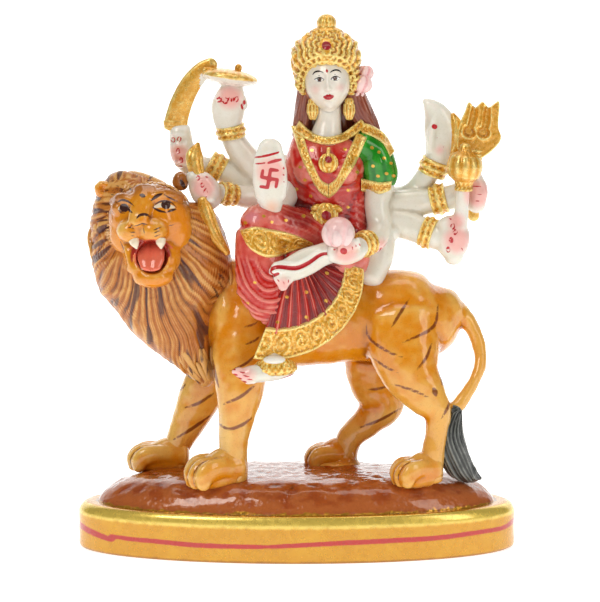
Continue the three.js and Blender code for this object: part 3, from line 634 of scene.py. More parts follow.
def stroke_distance(places: Array, path: Sequence[Sequence[float]], width: float, taper: float) -> Array:
    """Distance from the edge of a brush stroke, negative inside it, in the unit of its path.

    The stroke follows a spline through its points. Its half width is full in the middle and
    falls by the taper's share towards both ends, as the square of the distance from the middle.

    Args:
        places: Where to measure, (n, 2).
        path: The stroke's points.
        width: Full width in the middle.
        taper: Share of the width lost at the ends.

    Returns:
        Distances, (n,).
    """
    knots = np.array(path, float)
    if len(knots) > 2:
        knots, _ = spline(knots, np.linspace(0, 1, 4 * (len(knots) - 1) + 1))
    a, run = knots[:-1], np.diff(knots, axis=0)
    length = np.linalg.norm(run, axis=1)
    begun = np.cumsum(length) - length
    offset = places[:, None] - a
    t = np.clip(np.einsum("nij,ij->ni", offset, run) / np.maximum(length**2, 1e-9), 0, 1)
    away = np.linalg.norm(offset - t[..., None] * run, axis=-1)
    share = (begun + t * length) / max(length.sum(), 1e-9)
    half = width / 2 * (1 - taper * (2 * share - 1) ** 2)
    return (away - half).min(axis=1)


@dataclass(frozen=True)
class Stroke:
    """A brush stroke on the viewer's picture: its path and width in steps, and its taper."""

    path: tuple[tuple[float, float], ...]
    width: float = 2.4
    taper: float = 0.75


Strokes = tuple[Stroke, ...]
Clouds = tuple[tuple[tuple[float, float], float], ...]


def painted(places: Array, strokes: Strokes, reach: float = 16.0) -> Array:
    """Distance from the nearest of several strokes.

    Args:
        places: Where to measure, in steps of the picture, (n, 2).
        strokes: The strokes.
        reach: Steps beyond which the distance isn't followed.

    Returns:
        Distances in millimetres, negative inside a stroke, (n,).
    """
    nearest = np.full(len(places), reach)
    for stroke in strokes:
        knots = np.array(stroke.path)
        low, high = knots.min(0) - reach, knots.max(0) + reach
        near = np.flatnonzero(((places > low) & (places < high)).all(axis=1))
        if len(near):
            found = stroke_distance(places[near], stroke.path, stroke.width, stroke.taper)
            nearest[near] = np.minimum(nearest[near], found)
    return nearest * STEP


class Mould:
    """The front of finished pieces as the viewer sees it, to lay bands and patches on."""

    CELL = 2.0  # steps of the picture to a cell
    FILLINGS = 40  # rounds of filling, a cell further each
    SOFTENINGS = 2  # rounds of blurring
    BURIED = 1.2  # how deep a band's back lies under the surface, in hundredths

    def __init__(self, *pieces: Piece) -> None:
        """Keep the nearest depth along Y in every cell, and fill the gaps from their neighbours.

        Args:
            pieces: What the bands are laid on.
        """
        size = int(FRAME_WIDTH / self.CELL) + 2
        self.depths = np.full((size, size), np.inf)
        for piece in pieces:
            cells = np.clip(as_seen(piece.points) / self.CELL, 0, size - 1).astype(int)
            np.minimum.at(self.depths, (cells[:, 1], cells[:, 0]), to_shares(piece.points)[:, 1])
        sides = tuple(itertools.product((0, 1), (1, -1)))
        for _ in range(self.FILLINGS):
            known = np.isfinite(self.depths)
            around = [np.roll(np.where(known, self.depths, 0), shift, axis) for axis, shift in sides]
            count = sum(np.roll(known, shift, axis).astype(int) for axis, shift in sides)
            self.depths = np.where(known | (count == 0), self.depths, sum(around) / np.maximum(count, 1))
        self.depths[~np.isfinite(self.depths)] = 0
        for _ in range(self.SOFTENINGS):
            self.depths = (
                sum(np.roll(self.depths, shift, axis) for axis in (0, 1) for shift in (1, 0, 0, -1)) / 8
            )

    def depth(self, places: Array) -> Array:
        """Read the depth, blended between cells.

        Args:
            places: Steps of the picture, (..., 2).

        Returns:
            Depths along Y in hundredths, (...).
        """
        where = places / self.CELL - 0.5
        low = np.clip(np.floor(where).astype(int), 0, len(self.depths) - 2)
        x, y = np.moveaxis(where - low, -1, 0)
        column, row = low[..., 0], low[..., 1]
        upper = self.depths[row, column] * (1 - x) + self.depths[row, column + 1] * x
        lower = self.depths[row + 1, column] * (1 - x) + self.depths[row + 1, column + 1] * x
        return upper * (1 - y) + lower * y

    def band(
        self, upper: Sequence[Sequence[float]], lower: Sequence[Sequence[float]], relief: Relief, *,
        columns: int = 110, rows: int = 12, lift: float = 0.45,
    ) -> Form:
        """Lay a band on the surface, between two lines drawn on the picture.

        Args:
            upper: Points of one edge, in steps.
            lower: Points of the other edge.
            relief: Extra height in hundredths, by share along and share across.
            columns: Points along the band.
            rows: Points across it.
            lift: Height of its middle above the surface, in hundredths.

        Returns:
            The closed form.
        """
        along, across = np.linspace(0, 1, columns)[None], np.linspace(0, 1, rows)[:, None]
        top, bottom = (spline(np.array(line, float), along[0])[0] for line in (upper, lower))
        places = top * (1 - across[..., None]) + bottom * across[..., None]
        # The band's height falls to nothing along its edges, and quickly at its ends
        edge = np.minimum(1, 2.2 * np.sin(math.pi * across)) ** 0.5
        edge = edge * np.minimum(1, 14 * np.sin(math.pi * along)) ** 0.5
        height = (lift + relief(along + 0 * across, across + 0 * along)) * edge
        depth = self.depth(places)
        front, back = from_view(places, depth - height), from_view(places, depth + self.BURIED)
        return slab(to_metres(front), to_metres(back))


# Finishes


def add(
    tree: bpy.types.NodeTree, kind: str, inputs: dict | None = None, **settings: object,
) -> bpy.types.Node:
    """Add a node to a material with its settings, constants and links.

    Args:
        tree: The material's nodes.
        kind: The node's type, without the part that all shader nodes share.
        inputs: For a socket's name or number, a constant or the output that feeds it.
        settings: The node's own properties.

    Returns:
        The new node.
    """
    node = tree.nodes.new("ShaderNode" + kind)
    for name, value in settings.items():
        setattr(node, name, value)
    for socket, value in (inputs or {}).items():
        if isinstance(value, bpy.types.NodeSocket):
            tree.links.new(value, node.inputs[socket])
        else:
            node.inputs[socket].default_value = value
    return node


@dataclass(frozen=True)
class Zone:
    """Paint laid over a finish wherever an attribute, a distance in millimetres, is negative."""

    attribute: str
    colour: str
    edge: float = 0.1  # over which the paint thins out, in millimetres
    wander: float = 0.12  # of the hand that held the brush, in millimetres
    metallic: float | None = None
    strength: float = 1.0
    under: bool = False  # whether the washes of hollows and ridges go over it


@dataclass(frozen=True)
class Finish:
    """A paint or resin: its colour on the level, painted shade in the hollows and painted highlights on the
    ridges.
    """

    name: str
    level: str
    hollow: str
    ridge: str
    patch: str = ""  # colour of the broad uneven patches
    roughness: float = 0.3
    metallic: float = 0.0
    varnish: float = 0.8
    glow: float = 0.0  # share of light that passes under the surface
    grain: float = 0.6  # size of the brush marks, in millimetres
    relief: float = 0.02  # their height, in millimetres
    dent: float = 0.0  # height of the hammered dents, in millimetres
    dent_size: float = 1.5  # their width, in millimetres
    dent_shading: float = 0.0  # how far the dents' edges take the ridge's colour as painted highlight, and their middles the hollow's as painted shade
    hollow_at: float = 0.16  # depth at which the hollows' painted shade covers fully, in millimetres
    ridge_at: float = 0.14  # height at which the ridges' painted highlight is full, in millimetres
    hollow_strength: float = 0.85
    ridge_strength: float = 0.5
    zones: tuple[Zone, ...] = ()

    def build(self) -> bpy.types.Material:
        """Make the material, every pattern scaled in millimetres on the object's coordinates.

        Returns:
            The material.
        """
        material = bpy.data.materials.new(self.name)
        material.use_nodes = True
        tree = material.node_tree
        tree.nodes.clear()
        place = add(tree, "TexCoord").outputs["Object"]

        def noise(size: float, detail: float = 2.0) -> bpy.types.NodeSocket:
            """Random heights, about as wide as the size in millimetres."""
            found = {"Vector": place, "Scale": 1 / (size * MILLIMETRE), "Detail": detail, "Roughness": 0.6}
            return add(tree, "TexNoise", found).outputs[0]

        def ranged(
            value: bpy.types.NodeSocket, low: float, high: float, top: float, bottom: float = 0.0,
        ) -> bpy.types.NodeSocket:
            """Rise smoothly from the bottom, at low, to the top, at high."""
            given = {"Value": value, "From Min": low, "From Max": high, "To Min": bottom, "To Max": top}
            return add(tree, "MapRange", given, interpolation_type="SMOOTHSTEP").outputs[0]

        def laid(under: object, over: object, factor: object) -> bpy.types.NodeSocket:
            """Lay one colour over another by a factor."""
            given = {0: factor, 6: under, 7: over}
            return add(tree, "Mix", given, data_type="RGBA").outputs[2]

        fine, broad, patches = noise(self.grain), noise(2.6), noise(11.0, 3.0)
        metallic: object = self.metallic
        middle = 0.06  # millimetres that the noise adds to the depth on average

        def zoned(colour: object, metallic: object, zone: Zone) -> tuple[object, object]:
            """Lay a zone's paint over a colour, with its own share of metal.

            Args:
                colour: What lies under it.
                metallic: Its share of metal, a constant or a socket.
                zone: The paint and the attribute that bounds it.

            Returns:
                The new colour and share of metal.
            """
            distance = add(tree, "Attribute", attribute_name=zone.attribute).outputs["Fac"]
            shift = {0: broad, 1: zone.wander * 2, 2: distance}
            wandered = add(tree, "Math", shift, operation="MULTIPLY_ADD").outputs[0]
            factor = ranged(wandered, zone.wander + zone.edge, zone.wander - zone.edge, zone.strength)
            if zone.metallic is not None:
                metallic = add(tree, "Mix", {0: factor, 2: metallic, 3: zone.metallic}).outputs[0]
            return laid(colour, linear(zone.colour), factor), metallic

        # Broad patches of thinner and thicker paint keep a large area from looking flat
        patch = linear(self.patch or self.ridge)
        colour = laid(linear(self.level), patch, ranged(patches, 0.42, 0.72, 0.55))
        for zone in self.zones:
            if zone.under:
                colour, metallic = zoned(colour, metallic, zone)
        # The depth attribute, roughened by noise, so that the painted shade in the hollows and the painted
        # highlights on the ridges break up
        depth = add(tree, "Attribute", attribute_name="hollow").outputs["Fac"]
        given = {0: broad, 1: 2 * middle, 2: depth}
        rough_depth = add(tree, "Math", given, operation="MULTIPLY_ADD").outputs[0]
        hollow_shade = ranged(rough_depth, middle + 0.01, middle + self.hollow_at, self.hollow_strength)
        ridge_highlight = ranged(rough_depth, middle - 0.01, middle - self.ridge_at, self.ridge_strength)
        colour = laid(colour, linear(self.hollow), hollow_shade)
        colour = laid(colour, linear(self.ridge), ridge_highlight)
        colour = laid(colour, linear(self.hollow), ranged(fine, 0.55, 0.75, 0.22))
        bumped = add(tree, "Bump", {"Height": fine, "Strength": 1.0, "Distance": self.relief * MILLIMETRE})
        if self.dent:
            scale = 1 / (self.dent_size * MILLIMETRE)
            given = {"Vector": place, "Scale": scale}
            cells = add(tree, "TexVoronoi", given, feature="SMOOTH_F1").outputs["Distance"]
            # Hammered dents: painted highlight on their rims and painted shade in their middles
            if self.dent_shading:
                colour = laid(colour, linear(self.ridge), ranged(cells, 0.42, 0.72, self.dent_shading))
                colour = laid(colour, linear(self.hollow), ranged(cells, 0.3, 0.08, self.dent_shading * 0.7))
            given = {"Height": cells, "Distance": self.dent * MILLIMETRE, "Normal": bumped.outputs[0]}
            bumped = add(tree, "Bump", given)
        for zone in self.zones:
            if not zone.under:
                colour, metallic = zoned(colour, metallic, zone)
        gloss = ranged(broad, 0.3, 0.7, self.roughness * 1.35, self.roughness * 0.75)
        shader = add(tree, "BsdfPrincipled", {
            "Base Color": colour,
            "Metallic": metallic,
            "Roughness": gloss,
            "Normal": bumped.outputs[0],
            "Specular IOR Level": 0.5 if self.metallic else 0.22,
            "Coat Weight": self.varnish,
            "Coat Roughness": 0.06,
            "Subsurface Weight": self.glow,
            "Subsurface Scale": 1.6 * MILLIMETRE,
            "Subsurface Radius": (1.0, 0.75, 0.6),
        })
        add(tree, "OutputMaterial", {"Surface": shader.outputs[0]})
        return material


class Paint(Enum):
    """The finishes of the figure."""

    # Marble-dust resin left bare under varnish: milky, light passes a little way in, cream-grey painted
    # shade in the hollows and painted highlights on the ridges
    RESIN = Finish(
        "bare_cast_polyester_resin", "#e9e6da", "#c3b8a2", "#fbfaf4", "#dfdccb", roughness=0.22, glow=0.35,
        hollow_strength=0.6, ridge_strength=0.5,
        zones=(
            Zone("blush", "#f6a49e", edge=1.9, wander=0.7, strength=0.7),
            Zone("amber", "#e8a070", edge=2.2, wander=0.7, strength=0.6),
            Zone("scarlet", "#c0222a", edge=0.09, wander=0.1),
        ),
    )
    # Gold enamel: thick and brassy, with painted highlights on the ridges, and brown in the hollows where
    # antiquing wash and painted shade lie together
    GOLD = Finish(
        "gold_enamel", "#e8a526", "#96540e", "#fff09a", "#f0b83e", roughness=0.3, metallic=0.42,
        varnish=0.6, grain=0.3, relief=0.05, dent=0.09, dent_size=0.62, dent_shading=0.55, hollow_at=0.12,
        ridge_at=0.1, hollow_strength=0.75, ridge_strength=0.7,
        zones=(Zone("ruby", "#a01020", edge=0.08, metallic=0.0),),
    )
    # The same gold on sword, trident and mace: laid on smoother, so that their planes read
    BLADE = Finish(
        "smooth_gold_enamel", "#e0a02c", "#96540e", "#fff09a", "#ecb53e", roughness=0.3, metallic=0.42,
        varnish=0.6, grain=0.3, relief=0.04, dent=0.035, dent_size=0.5, dent_shading=0.3, hollow_at=0.16,
        ridge_at=0.12, hollow_strength=0.8, ridge_strength=0.75,
        zones=(Zone("milk", "#eeeadf", edge=0.25, wander=0.3, metallic=0.0),),
    )
    # Smooth gold enamel on the plinth's rim: satin, with a hand-pulled red line, and darker along the lower
    # edge as painted shade
    RIM = Finish(
        "brushed_gold_enamel", "#d0940c", "#8a5206", "#f8dc68", "#dca61c", roughness=0.24, metallic=0.45,
        varnish=0.8, grain=0.5, relief=0.02, ridge_strength=0.85,
        zones=(
            Zone("red_line", "#c4190f", edge=0.12, wander=0.2, metallic=0.0),
            Zone("ground", "#8a4a20", edge=0.35, wander=0.9, metallic=0.0),
        ),
    )
    # Red-brown ground under thick varnish, hammered so that it breaks the light into wet glints, darker in
    # the hollows as painted shade and lighter on the bumps as painted highlight
    GROUND = Finish(
        "varnished_brown_enamel", "#a04a1c", "#58220c", "#c4743c", "#b0591e", roughness=0.16, varnish=1.0,
        grain=0.5, relief=0.03, dent=0.3,
        zones=(Zone("gilt", "#d9a030", edge=0.35, wander=0.9, metallic=0.55),),
    )
    # Amber enamel over cream: cream on the muscles and upper surfaces, partly painted highlight, darker in
    # the creases as painted shade, thin stripes
    LION = Finish(
        "amber_enamel", "#e08806", "#8a3e04", "#f6ca6c", "#e8a020", roughness=0.24, varnish=0.95, glow=0.04,
        hollow_at=0.3, ridge_at=0.24,
        zones=(
            Zone("cream", "#f4cf74", edge=1.6, wander=1.2, strength=0.65, under=True),
            Zone("shade", "#b05e0a", edge=1.6, wander=1.4, strength=0.8, under=True),
            Zone("fur", "#a5642a", edge=2.2, wander=1.4, strength=0.9, under=True),
            Zone("stripe", "#74300c", edge=0.22, wander=0.25, strength=0.9),
            Zone("orange", "#e88a0c", edge=1.2, wander=0.6, strength=0.7),
            Zone("white", "#efe2c8", edge=0.15, wander=0.1),
            Zone("flesh", "#ea7458", edge=0.25, wander=0.15),
            Zone("gullet", "#a52c1e", edge=0.4, wander=0.2),
            Zone("ink", "#43251f", edge=0.11, wander=0.12),
        ),
    )
    # Brown enamel brushed over the mane's grooves, ochre on the strands as painted highlight and
    # purple-brown between them as painted shade
    MANE = Finish(
        "brown_mane_enamel", "#b86a22", "#55280c", "#e8b468", "#cf8c34", roughness=0.34, varnish=0.55,
        hollow_at=0.16, ridge_at=0.14, hollow_strength=0.9, ridge_strength=0.75,
        zones=(Zone("streak", "#43232a", edge=0.45, wander=0.6, strength=0.8),),
    )
    # Charcoal enamel on the tail's tuft, darker in its grooves as painted shade and whitish on their ridges
    # as painted highlight
    TUFT = Finish(
        "charcoal_enamel", "#2c302e", "#0e1010", "#a8ada7", "#383d3a", roughness=0.28, hollow_at=0.16,
        ridge_at=0.2, ridge_strength=0.65,
    )
    # Red enamel of the robe: wine in the folds and on the under surfaces as painted shade, pinkish on the
    # ridges and in a rose patch as painted highlight, dotted with gold
    ROBE = Finish(
        "red_enamel", "#c81f14", "#760d10", "#f79a8a", "#b4190f", roughness=0.24, varnish=0.9,
        hollow_at=0.22, ridge_at=0.26, ridge_strength=0.6,
        zones=(
            Zone("wine_shade", "#7a0f14", edge=1.6, wander=0.8, strength=0.6),
            Zone("rose_highlight", "#d98a9a", edge=1.4, wander=0.8, strength=0.6),
            Zone("gilt", "#e9b440", edge=0.12, wander=0.15, metallic=0.55),
        ),
    )
    # Bright green enamel of the sleeve, dotted with gold
    SLEEVE = Finish(
        "green_enamel", "#057a0c", "#033c04", "#48b83c", "#046e08", roughness=0.22, varnish=0.9,
        hollow_at=0.2, zones=(Zone("gilt", "#e9b440", edge=0.12, wander=0.15, metallic=0.55),),
    )
    # Maroon-brown hair, darkest between the strands as painted shade
    HAIR = Finish(
        "maroon_hair_enamel", "#8a4430", "#3a130c", "#c88a70", "#7c2c28", roughness=0.3, hollow_at=0.16,
        ridge_at=0.16,
    )
    # Pink enamel on lotus and flower: whitish on the petals' raised tips as painted highlight, deeper pink
    # in the folds as painted shade
    PINK = Finish(
        "pink_enamel", "#fac0c2", "#e07c80", "#fff0ec", "#fad0cc", roughness=0.28, varnish=0.7, glow=0.2,
        hollow_at=0.2,
    )
    # Face of the goddess: smooth varnished resin with painted features
    FACE = Finish(
        "painted_resin_face", "#efe9de", "#d3c3b0", "#fbf8f2", "#ebe3d6", roughness=0.24, glow=0.3,
        hollow_strength=0.35, ridge_strength=0.35, hollow_at=0.4,
        zones=(
            Zone("cheek", "#eaa69c", edge=1.3, wander=0.2, strength=0.45),
            Zone("eye", "#fbfaf8", edge=0.06, wander=0.02),
            Zone("iris", "#4a2614", edge=0.05, wander=0.02),
            Zone("lid", "#1e1413", edge=0.05, wander=0.03),
            Zone("lip", "#b8202c", edge=0.07, wander=0.04),
            Zone("bindi", "#c01a24", edge=0.05, wander=0.02),
            Zone("glint", "#ffffff", edge=0.04, wander=0.0),
        ),
    )

    @property
    def material(self) -> bpy.types.Material:
        """The finish's material, made when it is first asked for."""
        return bpy.data.materials.get(self.value.name) or self.value.build()


# The plinth


@dataclass(frozen=True)
class Plinth:
    """The oval plinth: a gold rim, and the mound of ground that the lion stands on."""

    half_length: float = 82.3  # of the rim, in millimetres
    narrowness: float = 32.9 / 82.5  # width over length
    rim_height: float = 17.5
    foot_round: float = 1.6  # radius of the rim's lower edge
    edge_round: float = 4.2  # radius of its upper edge
    mound_foot: float = 74.5  # half length of the mound
    mound_height: float = 11.5
    mound_root: float = 14.5  # height at which the mound starts inside the rim
    around: int = 240  # points round a ring
    red_line: Strokes = (
        Stroke(((77, 522), (86, 529), (96, 534), (112, 540)), 5.6, 0.2),
        Stroke(((111, 536), (130, 539), (152, 541), (193, 545), (230, 546.5), (266, 547)), 4.8, 0.2),
        Stroke(
            ((271, 547), (345, 543), (395, 540.5), (437, 538), (480, 532), (505, 527), (515, 519)), 5.0,
            0.2,
        ),
    )

    def turned(self, profile: Array, wobble: Callable[[Array], Array]) -> Array:
        """Turn a profile of radius and height about Z, drawn in to the oval.

        Args:
            profile: Radius along X and height of each ring, in millimetres.
            wobble: Millimetres of unevenness for places in millimetres.

        Returns:
            Rings of points in metres.
        """
        angle = np.linspace(0, 2 * math.pi, self.around, endpoint=False)
        radius, height = profile[:, :1], profile[:, 1:]
        rings = np.stack([
            radius * np.cos(angle), radius * np.sin(angle) * self.narrowness, height + 0 * angle,
        ], -1)
        uneven = wobble(rings)
        rings[..., :2] *= (1 + uneven / np.maximum(radius, 30))[..., None]
        return rings * MILLIMETRE

    def rim(self) -> Piece:
        """Make the rim: a straight side with a softened foot and a well-rounded upper edge.

        Returns:
            The piece, which stands for the casting's own solid.
        """
        out, top = self.half_length, self.rim_height
        low, high = self.foot_round, self.edge_round
        quarter = np.linspace(0, math.pi / 2, 8)
        foot = np.stack([out - low + low * np.sin(quarter), low - low * np.cos(quarter)], -1)
        side = np.stack([np.full(34, out), np.linspace(low + 0.3, top - high - 0.1, 34)], -1)
        edge = np.stack([out - high * (1 - np.cos(quarter)), top - high * (1 - np.sin(quarter))], -1)
        ledge = np.stack([np.linspace(out - high - 0.4, 66, 6), np.full(6, top)], -1)
        profile = np.concatenate([[[20, 0], [70, 0]], foot, side, edge, ledge])
        rings = self.turned(profile, lambda p: 0.12 * lumps(p, 9, 3) + 0.05 * lumps(p, 3, 4) - 0.1)
        piece = Piece("plinth_rim", tube(rings, np.zeros(3), np.array([0, 0, top * MILLIMETRE])))
        # The line runs round the back as it does round the front
        folded = piece.points * [1, 0, 1] - np.abs(piece.points * [0, 1, 0])
        piece.write("red_line", painted(as_seen(folded), self.red_line))
        radial = np.hypot(piece.points[:, 0], piece.points[:, 1] / self.narrowness) / MILLIMETRE
        ragged = 0.7 * lumps(piece.points, 0.0016, 5) + 0.5 * lumps(piece.points, 0.0007, 6)
        height = piece.points[:, 2] / MILLIMETRE
        piece.write("ground", np.maximum(radial - self.mound_foot - 0.9 + ragged, top - 1 - height))
        # A painted highlight runs along the satin upper edge, and painted shade along the lower edge
        highlight_band = smooth_step(12.2, 14.2, height) * (1 - smooth_step(17.0, 17.45, height))
        piece.write("hollow", -0.16 * highlight_band + 0.12 * smooth_step(1.6, 0.4, height))
        return piece.dress(Paint.RIM, replaces=True)

    def mound(self) -> Piece:
        """Make the mound: rounded at its foot, almost flat on top, and hammered all over.

        Returns:
            The piece.
        """
        share = np.concatenate([[1.0], 1 - np.linspace(0.0005, 0.995, 62) ** 1.25])
        height = self.rim_height + self.mound_height * (1 - share**6.5) ** 0.68
        profile = np.stack([self.mound_foot * share, height], -1)
        buried = [[self.mound_foot - 2, self.mound_root], [self.mound_foot, self.rim_height - 1]]
        rings = self.turned(np.concatenate([buried, profile]), lambda p: 0.5 * lumps(p, 7, 8))
        bumps = 0.34 * lumps(rings / MILLIMETRE, 3.1, 9) + 0.17 * lumps(rings / MILLIMETRE, 1.4, 10)
        rise = smooth_step(17.5, 21, rings[..., 2] / MILLIMETRE)
        rings[..., 2] += (bumps - 0.15) * rise * MILLIMETRE
        bottom = np.array([0, 0, self.mound_root * MILLIMETRE])
        piece = Piece("mound", tube(rings, bottom, rings[-1].mean(axis=0)))
        ragged = 0.8 * lumps(piece.points, 0.0018, 11) + 0.5 * lumps(piece.points, 0.0008, 12)
        piece.write("gilt", piece.points[:, 2] / MILLIMETRE - self.rim_height - 0.5 + ragged)
        piece.paint_depth_shading(14)
        return piece.dress(Paint.GROUND)

    def build(self) -> list[Piece]:
        """Make both pieces."""
        return [self.rim(), self.mound()]


# The lion


@dataclass(frozen=True)
class Lion:
    """The standing lion: skin with stripes, paws, roaring head, mane and tail.

    Paths hold stations, in hundredths of the figure's height. Limbs are paths with the heights of
    their end domes, eggs are middles with half axes, and strokes are as the viewer sees them.
    Lattices are the spacings at which overlapping forms are run together.
    """

    skin_lattice: float = 0.98  # millimetres
    paw_lattice: float = 0.55
    head_lattice: float = 0.47
    trunk: Path = (
        [-16, -0.8, 33, 10.2, 8.4], [-3.6, -0.5, 32.4, 9.6, 8.2], [5, 0, 33, 9.6, 7.8],
        [14, 0, 34, 9.8, 7.8], [23, 0, 34, 10.4, 8.6], [30.2, 0, 34.6, 8.6, 7.4], [34.2, 0, 36.2, 4.4, 4.4],
    )
    legs: tuple[Path, ...] = (
        (
            [-10.5, -4, 35, 7.5, 5.2], [-12, -7.2, 25, 6.4, 5], [-12.3, -8.6, 18.4, 5.2, 4.4],
            [-13.1, -8.8, 12.2, 3.8, 3.6], [-13.7, -8.8, 7, 3.2, 3.2], [-13.7, -8.8, -1.2, 3.3, 3.2],
        ),
        (
            [-14, 4, 32, 7, 5.2], [-17, 6.6, 23.5, 5.8, 4.8], [-21.4, 7.8, 14.9, 4.9, 4.2],
            [-24.2, 8.2, 8.7, 3.8, 3.6], [-26.6, 8.2, 3.6, 3, 3.1], [-27, 8.2, -1.2, 3, 3],
        ),
        (
            [22.5, -3.4, 34.5, 9.2, 6.4], [23.4, -5.6, 27.9, 8, 5.6], [24.9, -7.2, 22.5, 6.4, 4.8],
            [28.2, -8, 17.6, 4.7, 3.8], [30.6, -8.2, 14, 3, 3], [30.4, -8.2, 9.6, 2.5, 2.6],
            [29.4, -8.2, 4, 2.7, 2.8], [29.2, -8.2, -1.2, 2.7, 2.8],
        ),
        (
            [20, 4.4, 32, 8.6, 6], [17, 6.4, 23, 6.6, 5], [17.6, 7.4, 17.8, 5.7, 4.2],
            [19.2, 8, 13.4, 4.9, 3.6], [15.6, 8.2, 9, 3.5, 3.2], [11.8, 8.2, 5.4, 3, 3],
            [10, 8.2, -1.2, 3, 3],
        ),
    )
    muscle_limbs: Limbs = (
        ((0.3, 0.3), ([-12, 2, 44, 7, 6], [-14, 0, 36, 9, 7.5], [-13, -2, 27, 6, 6.5])),
        ((1, 1), ([-8.8, -8.2, 32, 2.4, 1.6], [-8.6, -9.6, 26, 3.4, 2], [-10, -10.6, 20, 2.2, 1.4])),
        ((1, 1), ([21, -5.4, 37, 3, 1.8], [22, -7.6, 32, 5.4, 2.4], [24, -9.4, 25, 3.6, 1.6])),
    )
    muscle_eggs: Eggs = (
        ([32.0, -1.8, 30.4], [1.9, 1.9, 2.5]), ([8, 8.2, -1.2], [7, 5, 2.2]),
    )
    tail: Path = (
        [30.6, 0, 37.8, 2.6], [35.9, 0, 34.8, 2.1], [38.7, -0.6, 30.9, 1.75], [40.2, -1.7, 26, 1.55],
        [39.9, -2.9, 22.9, 1.5], [37.7, -4.7, 18.8, 1.5], [35, -6.2, 15.1, 1.8],
    )
    tail_end: Path = (
        [34.6, -6.3, 15.2, 1.5, 1.5], [34.2, -6.4, 14.0, 1.9, 1.8], [33.4, -6.8, 9.9, 2.8, 2.5],
        [33.9, -6.6, 5.7, 3.2, 2.7], [35.6, -5.6, 1.8, 3.0, 2.5], [38.2, -4.4, -0.4, 1.9, 1.9],
        [40.2, -3.8, -1.2, 0.4, 0.5],
    )
    mane_core: Path = (
        [-31.4, 0, 62.0, 7.2, 6.4], [-32.5, -1, 59.8, 10.9, 8.4], [-32.3, -1.6, 56.4, 13.0, 9.8],
        [-30.3, -2.2, 50, 14.9, 10.9], [-28.2, -2.6, 42.8, 14.9, 10.9], [-26.6, -2.9, 34.8, 10.4, 9],
        [-23.2, -3.2, 27, 5.4, 6], [-19.8, -3.6, 20.6, 2.0, 2.4],
    )
    # x, y and height of the ankle, heading in degrees, length, width and height
    ankles: tuple[tuple[float, ...], ...] = (
        (-14.4, -9, 6, 205, 8.2, 8.2, 4.9), (-27, 8, 5, 187, 8.9, 7.4, 4.3),
        (28.6, -8.6, 5, 205, 6.8, 7.0, 4.3), (10.4, 8.2, 5.4, 183, 7.0, 6.6, 4.0),
    )
    head_ridges: Limbs = (
        ((1, 1), (
            [-39.2, -9.8, 60.2, 1.0, 1.2], [-37.0, -13.0, 61.4, 1.2, 1.3], [-35, -14.2, 61, 1.0, 1.2],
        )),
        ((1, 1), (
            [-31.4, -14.4, 61.2, 1.0, 1.2], [-28.8, -13.9, 62.3, 1.3, 1.3], [-24.8, -10.8, 61.2, 1.0, 1.2],
        )),
        ((0.5, 0.5), (
            [-32.2, -12.4, 63, 2.9, 1.6], [-33, -15.0, 60, 2.4, 1.8], [-33.5, -17.0, 57.6, 2.2, 1.5],
        )),
        ((0.7, 0.7), (
            [-36.2, -13.4, 50.8, 0.8, 0.8], [-34.2, -15.3, 46, 0.9, 0.9], [-30.6, -16.1, 45.0, 1.0, 1.0],
            [-27.4, -14.8, 46.4, 0.9, 0.9], [-25.8, -12.8, 50.4, 0.8, 0.8],
        )),
    )
    head_limbs: Limbs = (
        ((0.5, 0.5), (at(108, 192, -3.0, 1.9, 1.6), at(120, 199, -6.0, 2.4, 2.2))),
    )
    head_eggs: Eggs = (
        ([-31.4, -7.6, 56.2], [9.2, 8.6, 7.9]), ([-30.8, -10.6, 48.6], [6.4, 6.4, 5.6]),
        ([-30.6, -14.2, 44.6], [4.4, 3.4, 2.4]), ([-31, -13.4, 46.6], [5.4, 3.6, 2.6]),
        ([-35.4, -15.2, 54.6], [2.9, 3.0, 2.5]), ([-30.5, -15.4, 54.7], [3.2, 3.0, 2.6]),
        ([-36.8, -9.0, 53.8], [3.5, 4.4, 5.2]), ([-25.8, -9.2, 54], [3.6, 4.6, 5.2]),
        ([-33.6, -17.2, 56.9], [2.1, 1.4, 1.3]), ([-34.9, -17.1, 56.6], [0.9, 1.0, 0.8]),
        ([-32.3, -17.2, 56.7], [0.9, 1.0, 0.8]), ([-37.8, -12.2, 59.2], [1.8, 1.7, 1.6]),
        ([-28.9, -13.2, 59.4], [2.4, 1.9, 1.7]), (at(103.5, 189.5, -4), [2.1, 1.9, 2.1]),
        (at(181, 181, -3.4), [2.0, 1.8, 2.2]),
    )
